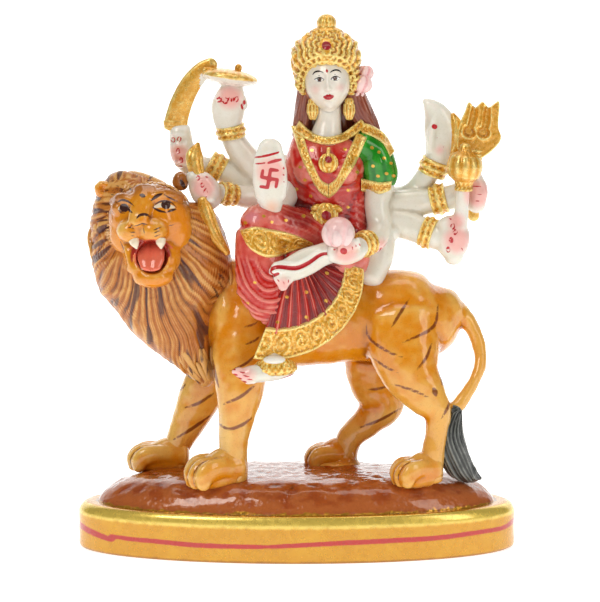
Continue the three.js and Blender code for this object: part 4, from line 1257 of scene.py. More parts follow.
    # Middle, half axes and roll in degrees: mouth, ears and nostrils
    head_hollows: tuple[tuple[Station, Station, float], ...] = (
        ([-30.7, -18.6, 49.2], [3.8, 7.2, 3.75], 12), (at(102.8, 189.2, -6.6), [1.2, 1.7, 1.2], 0),
        (at(182, 181.6, -6.0), [1.0, 1.6, 1.4], 0), ([-34.9, -18.2, 56.1], [0.45, 1.1, 0.35], 20),
        ([-32.3, -18.3, 56.2], [0.45, 1.1, 0.35], -20),
    )
    near_stripes: Strokes = (
        Stroke(((409, 299), (401, 312), (391, 328)), 3.4),
        Stroke(((438, 304), (434, 326), (402, 343)), 3.2),
        Stroke(((366, 323), (368, 336), (385, 350), (407, 359)), 3.0),
        Stroke(((373, 358), (386, 367), (399, 373)), 2.6),
        Stroke(((432, 343), (426, 358), (416, 371)), 3.0),
        Stroke(((392, 384), (412, 390), (430, 398)), 3.0),
        Stroke(((440, 371), (443, 378), (443, 384)), 5.5, 0.4), Stroke(((434, 389), (436, 395)), 5.5, 0.4),
        Stroke(((451, 398), (447, 409), (441, 419)), 3.0),
        Stroke(((224, 404), (240, 397), (254, 386)), 3.4, 0.5),
        Stroke(((219, 424), (228, 429), (240, 426), (252, 418)), 3.4, 0.5),
        Stroke(((213, 360), (215, 374), (219, 388)), 3.2),
        Stroke(((230, 371), (245, 364), (259, 352)), 2.8),
        Stroke(((243, 327), (252, 325), (259, 321)), 2.4),
        Stroke(((244, 345), (254, 341), (262, 335)), 2.2),
    )
    far_stripes: Strokes = (
        Stroke(((367, 389), (377, 389), (389, 386)), 2.8),
        Stroke(((358, 428), (380, 420), (401, 408)), 3.2),
        Stroke(((184, 408), (199, 403), (214, 393)), 3.2),
        Stroke(((173, 440), (190, 430), (211, 415)), 3.2),
        Stroke(((178, 392), (186, 384)), 2.2),
    )
    face_ink: Strokes = (
        Stroke(((150.5, 201), (157, 196), (163, 193.5)), 3.6),
        Stroke(((163, 193.5), (168, 197), (179, 202)), 1.7),
        Stroke(((152, 207), (160, 211), (167, 212.5)), 2.4),
        Stroke(((167, 212.2), (171, 210.5), (176.5, 209)), 2.6),
        Stroke(((152.5, 206.5), (157, 203.2), (163, 200.8), (171, 202.4), (177, 208)), 1.6),
        Stroke(((116, 203), (122, 200), (128, 201.5), (134, 206)), 2.2),
        Stroke(((127, 207), (130, 211), (133, 213)), 2.0),
        Stroke(((118, 209), (121, 212.5), (126, 213)), 1.4), Stroke(((116.6, 188), (119.5, 189)), 6.0, 0.3),
        Stroke(((135, 184), (137.5, 184.5)), 3.2, 0.3), Stroke(((141, 195), (144, 196)), 4.4, 0.3),
        Stroke(((159, 180), (162, 180)), 3.0, 0.3), Stroke(((129, 187), (131, 190)), 2.4, 0.3),
        Stroke(((150, 182), (153, 181)), 2.4, 0.3),
        Stroke(((136.5, 218.6), (139, 215.6), (143, 214.4), (147, 214.8), (150.5, 217.4)), 3.0),
        Stroke(((134.5, 226), (138.5, 225), (142.5, 223.6), (147, 224.6), (151.5, 224.8)), 1.3),
        Stroke(((143, 225), (144.5, 235)), 1.0), Stroke(((127, 228), (131, 227.6), (134.5, 228.8)), 1.3),
        Stroke(((129, 231.8), (136, 232.6)), 1.3), Stroke(((130, 235.4), (135, 236)), 1.2),
        Stroke(((153, 230.4), (158, 228.4), (162, 226.7)), 1.5), Stroke(((153, 233.6), (161, 230)), 1.3),
        Stroke(((154, 236.8), (161, 234.3)), 1.2), Stroke(((168, 226), (176, 224)), 1.0),
        Stroke(((184, 187), (181, 181)), 4.2, 0.3), Stroke(((99, 212), (97, 219), (100, 224)), 2.6),
        Stroke(((124, 250), (120, 240)), 1.0),
    )
    face_whites: Strokes = (
        Stroke(((119.5, 208.5), (124, 206.5), (128, 209)), 4.6, 0.3),
        Stroke(((155, 207), (162, 205), (174, 207.4)), 5.2, 0.6),
    )
    face_pink: Strokes = (
        Stroke(((139, 263), (144, 267.8), (150, 270), (156, 270), (162, 267.5)), 3.0, 0.5),
        Stroke(((130, 249), (136, 243), (150, 240.6), (164, 242), (172, 248)), 2.6, 0.3),
    )
    face_iris: Strokes = (
        Stroke(((123.4, 207.4), (125, 208)), 8.6, 0.1), Stroke(((165, 204.8), (166.6, 205)), 8.8, 0.1),
    )
    face_orange: Strokes = (
        Stroke(((138, 222), (143, 220), (149, 222)), 4.6, 0.4), Stroke(((98, 190), (105, 187)), 8.5, 0.2),
        Stroke(((178, 212), (181, 226), (176, 240)), 17, 0.4),
        Stroke(((142, 279), (155, 283), (169, 279)), 8.0, 0.5), Stroke(((168, 250), (168, 264)), 4.5, 0.5),
    )

    def stripes(self, piece: Piece) -> None:
        """Paint the stripes: on the near flank and limbs, on the far limbs, and again on the back.

        Args:
            piece: What is painted.
        """
        depth, facing = piece.points[:, 1], piece.normals[:, 1]
        seen = as_seen(piece.points)
        mirrored = as_seen(piece.points * [1, -1, 1])
        near = np.where(depth < 0.001, painted(seen, self.near_stripes), FAR)
        far = np.where((depth > -0.002) & (facing < 0.35), painted(seen, self.far_stripes), FAR)
        back = np.where((depth > 0.001) & (facing > 0.1), painted(mirrored, self.near_stripes), FAR)
        piece.write("stripe", np.minimum.reduce([near, far, back]))

    def patches(self, piece: Piece) -> None:
        """Lay cream on the upper surfaces as painted highlight, and painted shade on the under surfaces.

        Args:
            piece: What is painted.
        """
        cloud = 2.2 * lumps(piece.points, 0.011, 21) + 1.2 * lumps(piece.points, 0.005, 22)
        shares = to_shares(piece.points)
        # Low on the limbs, and along their front edges, the cream shows most
        low = smooth_step(26, 8, shares[:, 2])
        leading = np.maximum(-piece.normals[:, 0], 0) * smooth_step(4, -8, shares[:, 0])
        piece.write("cream", cloud + 3.2 - 2.0 * piece.normals[:, 2] - 1.6 * low - 3.0 * leading)
        creased = 1.8 * lumps(piece.points * [1, 1, 0.4], 0.006, 23)
        piece.write(
            "shade", 2.2 + 2.4 * piece.normals[:, 2] + creased + 1.2 * np.maximum(-piece.normals[:, 1], 0),
        )

    def skin(self) -> Piece:
        """Make body, legs and tail as one skin, with the muscles of shoulder and haunch.

        Returns:
            The piece.
        """
        forms = shaped(self.muscle_limbs, self.muscle_eggs)
        forms.append(loft(self.trunk, sides=64, tips=(0.3, 0.5)))
        forms += [loft(leg, sides=40, tips=(0.3, 0.1)) for leg in self.legs]
        forms.append(loft(self.tail, sides=24, tips=(0.3, 0.5)))
        piece = Piece("lion_skin", gathered(forms)).fuse(self.skin_lattice, 7)
        piece.swell(0.16 * lumps(piece.points, 0.004, 24) + 0.1 * lumps(piece.points, 0.0017, 25))
        piece.paint_depth_shading(16)
        self.stripes(piece)
        self.patches(piece)
        return piece.dress(Paint.LION)

    def paws(self) -> Piece:
        """Make the four paws: a pad under the wrist and four deeply parted toes with blunt claws.

        Returns:
            The piece.
        """
        forms = []
        for x, y, z, heading, length, width, height in self.ankles:
            angle = math.radians(heading)
            ahead = np.array([math.cos(angle), math.sin(angle), 0])
            aside = np.array([-math.sin(angle), math.cos(angle), 0])
            start = np.array([x, y, 0.0])
            middle = (z - 1.75) / 2

            def spot(along: float, across: float, up: float) -> list[float]:
                """Find a place of the paw by shares of its length and width, and a height."""
                return (start + ahead * along * length + aside * across * width + UP * up).tolist()

            forms.append(loft([
                [*spot(-0.2, 0, middle + 0.6), height * 0.85, width * 0.44],
                [*spot(0.2, 0, middle + 0.4), height * 0.85, width * 0.46],
                [*spot(0.5, 0, middle), height * 0.7, width * 0.42],
            ], face=aside, tips=(0.4, 0.5)))
            forms.append(loft([
                [*spot(0, 0, 0.3), 2.3, width * 0.4], [*spot(0.5, 0, 0.2), 2.4, width * 0.43],
                [*spot(0.88, 0, -0.1), 1.9, width * 0.4],
            ], face=aside, tips=(0.5, 0.6)))
            for rank in (-1.5, -0.5, 0.5, 1.5):
                inner = abs(rank) < 1
                forms.append(loft([
                    [*spot(0.1, rank * 0.22, height * 0.5), width * 0.14, height * 0.42],
                    [*spot(0.48 + 0.08 * inner, rank * 0.255, height * 0.6), width * 0.165, height * 0.46],
                    [*spot(0.76 + 0.1 * inner, rank * 0.27, height * 0.5), width * 0.175, height * 0.5],
                    [*spot(0.92 + 0.1 * inner, rank * 0.27, height * 0.2), width * 0.165, height * 0.44],
                    [*spot(0.95 + 0.1 * inner, rank * 0.265, -height * 0.15), width * 0.14, height * 0.3],
                ], face=UP, tips=(0.3, 0.9), sides=26))
        piece = Piece("lion_paws", gathered(forms)).fuse(self.paw_lattice, 4)
        piece.paint_depth_shading(18)
        self.patches(piece)
        # A dark line down each gap between the toes, in the ink colour, is painted shade
        parted = np.full(len(piece.points), FAR)
        shares = to_shares(piece.points)
        for x, y, _, heading, length, width, _ in self.ankles:
            angle = math.radians(heading)
            along = ((shares[:, 0] - x) * math.cos(angle) + (shares[:, 1] - y) * math.sin(angle)) / length
            across = (shares[:, 1] - y) * math.cos(angle) - (shares[:, 0] - x) * math.sin(angle)
            line = (
                np.abs(across[:, None] - np.array([-0.265, 0, 0.265]) * width).min(axis=1) * SHARE
                / MILLIMETRE
            )
            near = (along > 0.42) & (along < 1.3) & (np.abs(across) < 0.45 * width)
            parted = np.where(
                near, np.minimum(parted, line - 0.15 * smooth_step(0.42, 0.62, along)), parted,
            )
        piece.write("ink", parted)
        self.stripes(piece)
        return piece.dress(Paint.LION)

    def head(self) -> Piece:
        """Make the roaring head: sockets, ears and the mouth are pressed into the joined forms.

        Returns:
            The piece.
        """
        forms = shaped(self.head_limbs, self.head_eggs) + shaped(self.head_ridges, face=UP)
        piece = Piece("lion_head", gathered(forms)).fuse(self.head_lattice, 4)
        # Each hollow is an egg shape: points inside it go straight back to its far wall
        for middle, radii, roll in self.head_hollows:
            local = to_shares(piece.points) - middle
            cosine, sine = math.cos(math.radians(roll)), math.sin(math.radians(roll))
            across, up = (
                local[:, 0] * cosine + local[:, 2] * sine, local[:, 2] * cosine - local[:, 0] * sine
            )
            inside = 1 - (across / radii[0]) ** 2 - (up / radii[2]) ** 2
            wall = middle[1] + radii[1] * np.sqrt(np.maximum(inside, 0))
            shares = to_shares(piece.points)
            pressed = (inside > 0) & (shares[:, 1] < wall) & (shares[:, 1] < middle[1] + radii[1])
            shares[pressed, 1] = wall[pressed]
            piece.move(to_metres(shares))
        piece.fuse(self.head_lattice, 3)
        # Away from the face's oval the skin turns into combed fur, like the mane around it
        seen = as_seen(piece.points)
        oval = np.hypot((seen[:, 0] - 150) / 44, (seen[:, 1] - 241) / 49)
        depth = to_shares(piece.points)[:, 1]
        combed = np.maximum(
            smooth_step(0.96, 1.16, oval) * smooth_step(-15.5, -12.5, depth), smooth_step(-6.5, -4, depth),
        )
        bumps = 0.1 * lumps(piece.points, 0.0016, 31) + combed * 0.45 * self.flow(piece.points)[0]
        piece.swell(bumps)
        seen, facing = as_seen(piece.points), piece.normals[:, 1]
        # Off the face's oval most of the ridges' painted highlight is left out
        piece.paint_depth_shading(14, 1 - 0.85 * smooth_step(0.9, 1.1, oval))
        self.patches(piece)
        ears = np.hypot((seen[:, 0] - 103) / 9, (seen[:, 1] - 189) / 9) < 1
        shares = to_shares(piece.points)
        piece.write("fur", np.where(ears, FAR, np.minimum(1.02 - oval, -0.24 - 0.05 * shares[:, 1]) * 17))
        mouth = (shares - [-31.0, -14.5, 49.2]) / [4.4, 5.2, 4.2]
        lip = (np.linalg.norm(mouth, axis=1) - 1) * 4
        piece.write("gullet", np.where(shares[:, 1] > -15.6, lip * 1.4, FAR))
        for name, strokes in (("white", self.face_whites), ("orange", self.face_orange)):
            piece.write(name, np.where(facing < 0.2, painted(seen, strokes), FAR))
        piece.write("ink", np.where(facing < 0.2, painted(seen, (*self.face_ink, *self.face_iris)), FAR))
        lips = np.minimum(0.3 + lip * 0.6, painted(seen, self.face_pink))
        piece.write("flesh", np.where((facing < 0.2) & (shares[:, 1] < -11), lips, FAR))
        return piece.dress(Paint.LION)

    def tongue(self) -> Piece:
        """Make the tongue, with a groove along its middle.

        Returns:
            The piece.
        """
        def groove(share: Array, angle: Array) -> Array:
            """Press a bell curve of the angle into the upper side."""
            return -0.3 * np.exp(-(((angle - math.pi / 2) / 0.3) ** 2))

        tongue = loft([
            at(151, 245.5, -12.6, 2.6, 0.8), at(151, 252, -14.4, 2.95, 0.8), at(151, 260, -15.9, 2.8, 0.8),
            at(150.6, 267, -16.8, 2.2, 0.7),
        ], sides=44, rows=8, tips=(0.25, 0.45), relief=groove)
        piece = Piece("lion_tongue", tongue)
        piece.write("flesh", np.full(len(piece.points), -FAR))
        piece.paint_depth_shading(6)
        return piece.dress(Paint.LION)

    def teeth(self) -> Piece:
        """Make the two upper canines and the row of small lower teeth.

        Returns:
            The piece.
        """
        teeth = [
            loft(
                [
                    at(x, 239.5, -16.4, 1.15), at(x + lean / 2, 243.5, -16.8, 1.0),
                    at(x + lean, 248, -17.0, 0.3),
                ],
                sides=20, tips=(0, 0.8),
            )
            for x, lean in ((133.5, 3.0), (160.5, 0.6))
        ]
        teeth += [
            ball(at(x, 266.5 + 0.04 * (x - 150) ** 2, -16.9), [0.36, 0.3, 0.3], around=14, down=10)
            for x in np.linspace(143, 157, 6)
        ]
        piece = Piece("lion_teeth", gathered(teeth))
        piece.write("white", np.full(len(piece.points), -FAR))
        piece.paint_depth_shading(3)
        return piece.dress(Paint.LION)

    @staticmethod
    def flow(points: Array) -> tuple[Array, Array, Array]:
        """Comb the mane into strands that spring from the face and fall like a fountain.

        Seen from the front, each strand leaves the face's middle at its own angle and bends down
        along a parabola. The angle and the distance run along it solve a quadratic at every
        point, and grooves are drawn across the angles, twice as many wherever they spread to
        double their width. Towards the back they also follow the depth.

        Args:
            points: Places in metres, (..., 3).

        Returns:
            Heights in millimetres, grooves negative, with each point's angle and run.
        """
        shares = to_shares(points)
        x, z = shares[..., 0] + 32.5, shares[..., 2] - 55.5
        z = z + 0.01 * np.maximum(x, 0) ** 2
        fall, speed = 0.05, 1.0
        reach = speed**2 - fall * z
        under = np.maximum(reach**2 - fall**2 * (x**2 + z**2), 0)
        run = np.sqrt(np.maximum((reach - np.sqrt(under)) * 2, 1e-6)) / fall
        angle = np.arctan2(x, z + fall * run**2 / 2)
        deep = np.maximum(shares[..., 1] + 9, 0)
        wavy = 0.13 * lumps(shares, 10, 41) + 0.05 * lumps(shares, 4.0, 42)
        octave = np.log2(np.maximum(run, 3) / 6.5)
        whole = np.floor(octave)
        mix = smooth_step(0.3, 0.7, octave - whole)
        total = 0
        for count, depth in ((90, 0.24), (26, 0.4), (9, 0.5)):
            layers = []
            for step in (0, 1):
                phase = count * 2.0 ** (whole + step) * (angle + wavy) + deep * (2.6 if count > 40 else 1.0)
                layers.append(np.abs(np.sin(phase / 2)) ** 0.7)
            total = total + depth * ((1 - mix) * layers[0] + mix * layers[1] - 0.8)
        return total, angle, run

    def combed(self, name: str, start: float, end: float, columns: int, rows: int) -> Piece:
        """Make one side of the mane: half rings, combed, each closed through the mane's inside.

        Args:
            name: The piece's name.
            start: Angle where the half rings begin; a quarter turn looks forwards.
            end: Angle where they stop.
            columns: Points along a half ring.
            rows: Rows for each span between stations.

        Returns:
            The piece.
        """
        sides = 720  # of the smooth ring that the half rings are read from
        smooth = loft(self.mane_core, sides=sides, rows=rows, tips=(0.3, 0.8)).points[:-2]
        smooth = smooth.reshape(-1, sides, 3)
        ring = np.concatenate([smooth, smooth], axis=1)
        where = np.linspace(start, end, columns) / (2 * math.pi) * sides % sides
        low = where.astype(int)
        part = (where - low)[:, None]
        outside = ring[:, low] * (1 - part) + ring[:, low + 1] * part
        axis = smooth.mean(axis=1, keepdims=True)
        outward = unit(outside - axis)
        shares = to_shares(outside)
        # The combing dies out under the face
        face = np.hypot((shares[..., 0] + 32) / 8.2, (shares[..., 2] - 53.6) / 8.6)
        hidden = np.where(shares[..., 1] < -6, 1 - smooth_step(0.8, 1.05, face), 0)
        height, angle, run = self.flow(outside)
        outside = outside + outward * ((height * (1 - hidden) - 0.3) * MILLIMETRE)[..., None]
        inside = axis + (outside[:, [-1, columns // 2, 0]] - axis) * np.array([0.55, 0.2, 0.55])[:, None]
        closed = np.concatenate([outside, inside], axis=1)
        piece = Piece(name, tube(closed, axis[0, 0], axis[-1, 0]))
        streaks = np.stack(
            [angle * 15 + 0.7 * lumps(shares, 5, 44), run * 0.085, 0.25 * shares[..., 1]], -1,
        )
        streak = 1.9 + 4.6 * lumps(streaks, 1.0, 43)
        streak = np.concatenate([streak, np.full((len(streak), 3), FAR)], axis=1).ravel()
        piece.write("streak", np.concatenate([streak, [FAR, FAR]]))
        piece.paint_depth_shading(12)
        return piece.dress(Paint.MANE)

    @staticmethod
    def lock(stations: Path, outward: Array) -> Form:
        """Make one lock: a tapering strand with two grooves along its face.

        Args:
            stations: Its path.
            outward: The way that its face looks.

        Returns:
            The closed form, of a few dozen faces.
        """
        return loft(
            stations, sides=8, rows=2, caps=1, face=outward, tips=(0.5, 0.5),
            relief=lambda s, a: -0.15 * np.abs(np.cos(2 * a)) ** 4 * np.sin(math.pi * np.clip(s, 0, 1)),
        )

    def locks(self) -> Piece:
        """Make the loose locks: down the mane's sides and back, round the face and on the head.

        Returns:
            The piece.
        """
        rng = np.random.default_rng(7)
        middle = np.array(self.mane_core, float)
        forms = []
        for share in np.linspace(0.34, 0.9, 10):
            for side in np.linspace(0, 2 * math.pi, 16, endpoint=False):
                angle = side + rng.uniform(-0.18, 0.18)
                if math.sin(angle) > 0.3 and share < 0.8:
                    continue
                length, width = rng.uniform(0.13, 0.2), rng.uniform(0.6, 0.95)
                steps = np.clip(share + np.linspace(0, 1, 5) * length, 0, 1)
                spine, _ = spline(middle[:, :3], steps)
                girth, _ = spline(middle[:, 3:], steps)
                turn = angle + np.linspace(0, 1, 5) * rng.uniform(-0.1, 0.16)
                swell = np.array([0.93, 0.97, 0.985, 0.98, 0.96])
                x = spine[:, 0] + np.cos(turn) * girth[:, 0] * swell
                y = spine[:, 1] - np.sin(turn) * girth[:, 1] * swell
                taper = np.array([0.4, 1, 0.95, 0.6, 0.1]) * width
                stations = np.stack([x, y, spine[:, 2], taper, taper * 0.55], -1).tolist()
                forms.append(self.lock(stations, np.array([math.cos(angle), -math.sin(angle), 0])))
        along = np.linspace(0, 1, 5)
        for row, (count, start) in enumerate(((64, 0.97), (56, 1.1))):
            for angle in np.linspace(-0.86 * math.pi, 0.86 * math.pi, count):
                angle += rng.uniform(-0.05, 0.05)
                out = np.array([math.sin(angle), 0, math.cos(angle)])
                root = np.array([-31.6, -10.6 + 2.2 * row, 54.2]) + out * [8.7 * start, 0, 7.9 * start]
                side = abs(out[0])
                grow, drop = rng.uniform(0.7, 1.1) + 0.9 * side, rng.uniform(1.6, 3.4) * (0.3 + side)
                back = np.array([0, rng.uniform(3.6, 4.8), 0])
                steps = (
                    root + out * grow * along[:, None] + back * along[:, None]
                    - UP * drop * along[:, None] ** 2
                )
                taper = np.array([0.25, 0.9, 1, 0.7, 0.1]) * rng.uniform(0.36, 0.54)
                stations = np.concatenate([steps, taper[:, None], taper[:, None] * 0.5], axis=1).tolist()
                forms.append(self.lock(stations, unit(out + 1.2 * FRONT)))
        # Short locks lie over the top and back of the head
        for first in np.array([0.46, 0.6, 0.74, 0.88]) * math.pi:
            for side in np.linspace(-0.82, 0.82, 17):
                turn = first + np.linspace(0, 0.26, 5) * math.pi + rng.uniform(-0.08, 0.08)
                share = side + np.linspace(0, 1, 5) * rng.uniform(-0.06, 0.06)
                ahead, above = -np.cos(turn) * np.sqrt(1 - share**2), np.sin(turn) * np.sqrt(1 - share**2)
                x, y, z = -31.4 + 9.3 * share, -7.6 + 8.7 * ahead, 56.2 + 7.9 * above
                taper = np.array([0.3, 1, 1, 0.7, 0.15]) * rng.uniform(0.7, 0.9)
                outward = np.array([side, ahead[2], above[2]])
                forms.append(self.lock(np.stack([x, y, z, taper, taper * 0.5], -1).tolist(), unit(outward)))
        piece = Piece("mane_locks", gathered(forms))
        piece.write("streak", 2.6 + 3.4 * lumps(piece.points * [1.8, 1.8, 0.5], 0.0042, 43))
        piece.paint_depth_shading(4)
        return piece.dress(Paint.MANE)

    def tuft(self) -> Piece:
        """Make the tail's tuft, with grooves that wind down it in a shallow S.

        Returns:
            The piece.
        """
        def grooves(share: Array, angle: Array) -> Array:
            """Add fine and broad grooves, which die out towards both ends.

            Args:
                share: Share of the way along.
                angle: Angle round the tuft.

            Returns:
                Heights in hundredths.
            """
            wind = angle + 2.2 * share + 0.5 * np.sin(7 * share)
            fine = np.abs(np.sin(11 * wind)) ** 0.8
            broad = np.abs(np.sin(4 * wind + 1)) ** 0.8
            return (0.2 * fine + 0.26 * broad - 0.36) * np.sin(math.pi * np.clip(share, 0, 1)) ** 0.4

        form = loft(self.tail_end, sides=120, rows=11, tips=(0.3, 0.8), relief=grooves)
        piece = Piece("tail_tuft", form)
        piece.paint_depth_shading(10)
        return piece.dress(Paint.TUFT)

    def build(self) -> list[Piece]:
        """Make the lion's pieces.

        Returns:
            The pieces.
        """
        overlap = 0.1  # radians by which the mane's front reaches round to its back
        return [
            self.skin(), self.paws(), self.head(), self.tongue(), self.teeth(),
            self.combed("mane_front", -overlap, math.pi + overlap, 250, 20),
            self.combed("mane_back", math.pi - overlap / 2, 2 * math.pi + overlap / 2, 100, 15),
            self.locks(), self.tuft(),
        ]


# The goddess


def scrolls(along: Array, across: Array) -> Array:
    """Embossed scrollwork: one spiral to a cell, every second one mirrored.

    Args:
        along: Place along the border, one unit to a cell.
        across: Place across it, from 0 to 1.

    Returns:
        Heights from -1 to 1.
    """
    cell = np.floor(along)
    a, b = 2 * (along - cell) - 1, 2 * across - 1
    turn = np.where(cell % 2 == 0, 1, -1)
    radius = np.hypot(a, b)
    spiral = np.cos(np.arctan2(b * turn, a) - 8.5 * radius)
    leaves = np.cos(6 * math.pi * along) * np.cos(3 * math.pi * across)
    return np.where(radius < 1, spiral * (1 - 0.5 * radius**4), 0.6 * leaves)


def petals(count: int, height: float) -> Relief:
    """Relief of petals round a ball: a cosine of the angle that dies out towards both poles."""
    return lambda share, angle: height * np.cos(count * angle) * np.sin(math.pi * share)


def dots(*places: tuple[float, float], width: float = 3.0) -> Strokes:
    """Round dabs of paint at places of the picture."""
    return tuple(Stroke(((x - 0.4, y), (x + 0.4, y + 0.3)), width, 0.0) for x, y in places)


def rings(*places: tuple[float, float], size: float = 2.6) -> Strokes:
    """Small open lozenges, drawn with the tip of the brush.

    Args:
        places: Their middles on the picture.
        size: Half their height, in steps.

    Returns:
        A stroke for each.
    """
    return tuple(
        Stroke(
            ((x - size * 0.7, y), (x, y - size), (x + size * 0.8, y), (x, y + size), (x - size * 0.7, y)),
            1.3, 0.2,
        )
        for x, y in places
    )


@dataclass
class Goddess:
    """Durga: head and crown, robe, eight arms with what they hold, lap and feet.

    Paths hold stations, in hundredths of the figure's height. Limbs are paths with the heights of
    their end domes, eggs are middles with half axes, and strokes are as the viewer sees them.
    Lattices are the spacings at which overlapping forms are run together.
    """

    robe_lattice: float = 0.68  # millimetres
    lap_lattice: float = 0.47
    arm_lattice: float = 0.61
    fan_start: float = -22.0  # degrees from straight down to the skirt's edge at the hanging foot
    fan_spread: float = 96.0  # degrees from there to its edge at the hip
    fan_reach: float = 22.4  # from the lap to the hem, in hundredths
    torso: Path = (
        [7, 1.4, 42, 8.5, 6.4], [6.4, 1, 48.7, 9, 6.4], [6.2, 0.6, 53.1, 7.6, 5.6],
        [6.4, 0, 57.1, 6.3, 4.7], [6.4, -0.4, 62.4, 7.6, 5.1], [6.4, -0.6, 67, 8.6, 5.2],
        [6.6, 0, 71, 8, 4.4], [6.8, 0.4, 73.8, 4, 2.8],
    )
    robe_limbs: Limbs = (
        ((0.8, 0.3), (
            [2.0, 0.6, 72.4, 3.0, 3.0], [0.9, 0.6, 68, 3.3, 3.2], [1.2, 0.6, 60, 3.4, 3.4],
            [1.0, 0.2, 52, 4, 4],
        )),
        ((0.5, 0.3), ([11.0, 1, 66, 3.6, 3.6], [11.5, 1, 58, 3.9, 4], [11.7, 0.6, 50, 4.2, 4])),
        ((0.3, 0.5), (
            [7, 0, 50, 6, 6], [-1.6, -6.4, 53.8, 5.4, 5], [-7.4, -9.8, 55.4, 4.6, 4.4],
            [-9.4, -10.8, 54.4, 3.9, 4],
        )),
        ((0.3, 0.6), (
            [-9, -10.6, 54.4, 4.1, 4], [-8, -11.6, 48.4, 5.3, 4.2], [-7.2, -12.2, 42.6, 5.7, 3.8],
            [-5.8, -13, 37.4, 4.2, 2.8], [-5.4, -13.2, 35.6, 2.6, 1.8],
        )),
        ((0.3, 0.5), ([9.6, -0.4, 48.4, 6, 5.6], [11.0, -5.6, 47.4, 5, 4.6], [9.4, -10, 46.6, 3.6, 3])),
    )
    robe_eggs: Eggs = (
        ([2.9, -3.4, 66.2], [3.5, 3.0, 3.3]), ([10, -3.4, 66.1], [3.5, 3.0, 3.3]),
        (at(289, 257, -8), [4.4, 4, 3.2]),
    )
    robe_dots: Strokes = dots(
        (312, 150), (345, 149), (300, 167), (296.5, 189), (310.7, 196), (348, 190), (303.6, 216),
        (348, 207), (263.7, 216), (245.4, 222.5), (286, 220), (255, 282.4), (248, 303), (287, 297),
        (306.5, 292), (327, 273), (326, 300.7), (306.5, 317), (277.7, 322), (357, 172), (305, 180),
        (353, 160), (298, 140), (272, 222),
    )
    lap_limbs: Limbs = (
        ((0.6, 0.6), ([18.6, -1.4, 53, 3, 3], [17.6, -2.6, 48, 3.6, 3.4], [15.6, -4, 43.4, 3.4, 3.2])),
        ((0.5, 0.8), (
            at(354, 246, -7.6, 2.5, 2.4), at(338, 250, -10.4, 2.4, 2.2), at(322, 255, -12.8, 2.5, 2.2),
            at(306, 262, -14.2, 2.95, 2.0), at(293, 268, -14.9, 2.8, 1.9), at(282, 269.6, -15.6, 2.0, 1.6),
            at(276, 269.6, -15.8, 1.6, 1.4),
        )),
        ((0.5, 0.9), (
            at(284.5, 273, -15.2, 2.8, 1.6), at(283.5, 280, -15.7, 2.2, 1.3),
            at(283, 286.6, -15.8, 1.1, 0.9),
        )),
        ((0.3, 0.6), (
            at(275, 350, -13.4, 2.1, 2.0), at(275, 362, -14.0, 2.2, 2.0), at(276, 368, -14.2, 2.2, 1.9),
        )),
        ((0.9, 0.5), (
            at(290, 370, -14.4, 1.3, 1.5), at(277, 371.5, -15, 1.9, 1.8), at(262, 373, -15.4, 2.0, 1.8),
            at(249, 374.4, -15.9, 1.85, 1.6), at(243, 374.8, -16.0, 1.5, 1.3),
        )),
    )
    lap_eggs: Eggs = (
        (at(273.5, 271.5, -16.4), [1.15, 0.9, 1.0]), (at(274.5, 360, -16.2), [2.5, 1.6, 1.05]),
    )
    lap_digits: Rows = (
        (at(240.5, 370.5, -16.6), at(254, 380.5, -16.2), 5, [[-0.6, -0.1, -0.05], [-1.35, 0, -0.3]], 0.8),
    )
    palm: Path = (
        at(272.5, 214, -10.6, 1.6, 1.5), at(271.5, 205, -11.2, 2.5, 1.7), at(270, 194, -11.8, 3.3, 1.7),
        at(269.6, 180, -12.4, 3.7, 1.6), at(269.4, 165, -12.9, 3.6, 1.4), at(269.8, 154, -13.2, 3.2, 1.3),
        at(270, 149, -13.2, 2.7, 1.1),
    )
    right_limbs: Limbs = (
        ((0.3, 0.4), (
            [-1.6, 4, 65.6, 3.7, 3], [-7, 4.5, 64.8, 3.6, 3], [-11, 4.2, 68.2, 3, 2.8],
            [-14, 3.6, 73, 2.5, 2.4], [-14.7, 3, 76, 2.2, 2.2],
        )),
        ((0.3, 0.3), (
            at(229, 131, 2.9, 2.2, 2.0), at(228, 121, 2.6, 3.2, 2.2), at(228.5, 106, 2.3, 3.7, 2.4),
            at(231, 94, 2.2, 3.0, 2.2), at(233, 86, 2.3, 2.4, 2.0),
        )),
        ((0.8, 0.8), (at(242, 99, 1.6, 1.0, 1.0), at(244, 106, 1.6, 1.0, 1.0))),
        ((0.3, 0.4), (
            [-1.6, 4.4, 62.4, 3.4, 2.8], [-9.6, 4.6, 62.2, 3.2, 2.8], [-15, 4.7, 65, 2.7, 2.6],
            [-18.8, 4.7, 66.8, 2.4, 2.3],
        )),
        ((0.5, 0.4), (
            at(208, 168, 4.7, 2.2, 2.2), at(194, 165, 4.7, 2.8, 2.4), at(184, 154, 4.6, 2.9, 2.3),
            at(181, 141, 4.5, 2.6, 2.1), at(180, 128, 4.4, 2.3, 1.9),
        )),
        ((0.3, 0.4), (
            [-1.6, 3.4, 59.6, 3.1, 2.8], [-8.8, 2.4, 59.9, 2.8, 2.6], [-14.4, -0.6, 60.9, 2.1, 2.2],
            [-17.4, -2.8, 61.6, 1.9, 2],
        )),
        ((0.9, 0.8), (
            at(193, 176, -4.8, 1.6, 1.4), at(199, 182, -4.8, 2.9, 2.2), at(206, 192, -4.6, 3.3, 2.4),
            at(211, 201, -4.2, 2.4, 2.0),
        )),
        ((0.3, 0.5), (
            [-0.6, 0.6, 62.6, 2.4, 2.4], [-2.6, -3.4, 59.6, 2.3, 2.3], [-3.8, -7, 58.2, 2.1, 2.1],
            [-4.8, -10.4, 57.6, 1.9, 1.7],
        )),
        ((0.8, 0.9), (
            at(282, 196, -11.8, 1.0, 1.1), at(283.4, 182, -12.2, 0.95, 1.1),
            at(283.4, 170, -12.6, 0.8, 0.9),
        )),
    )
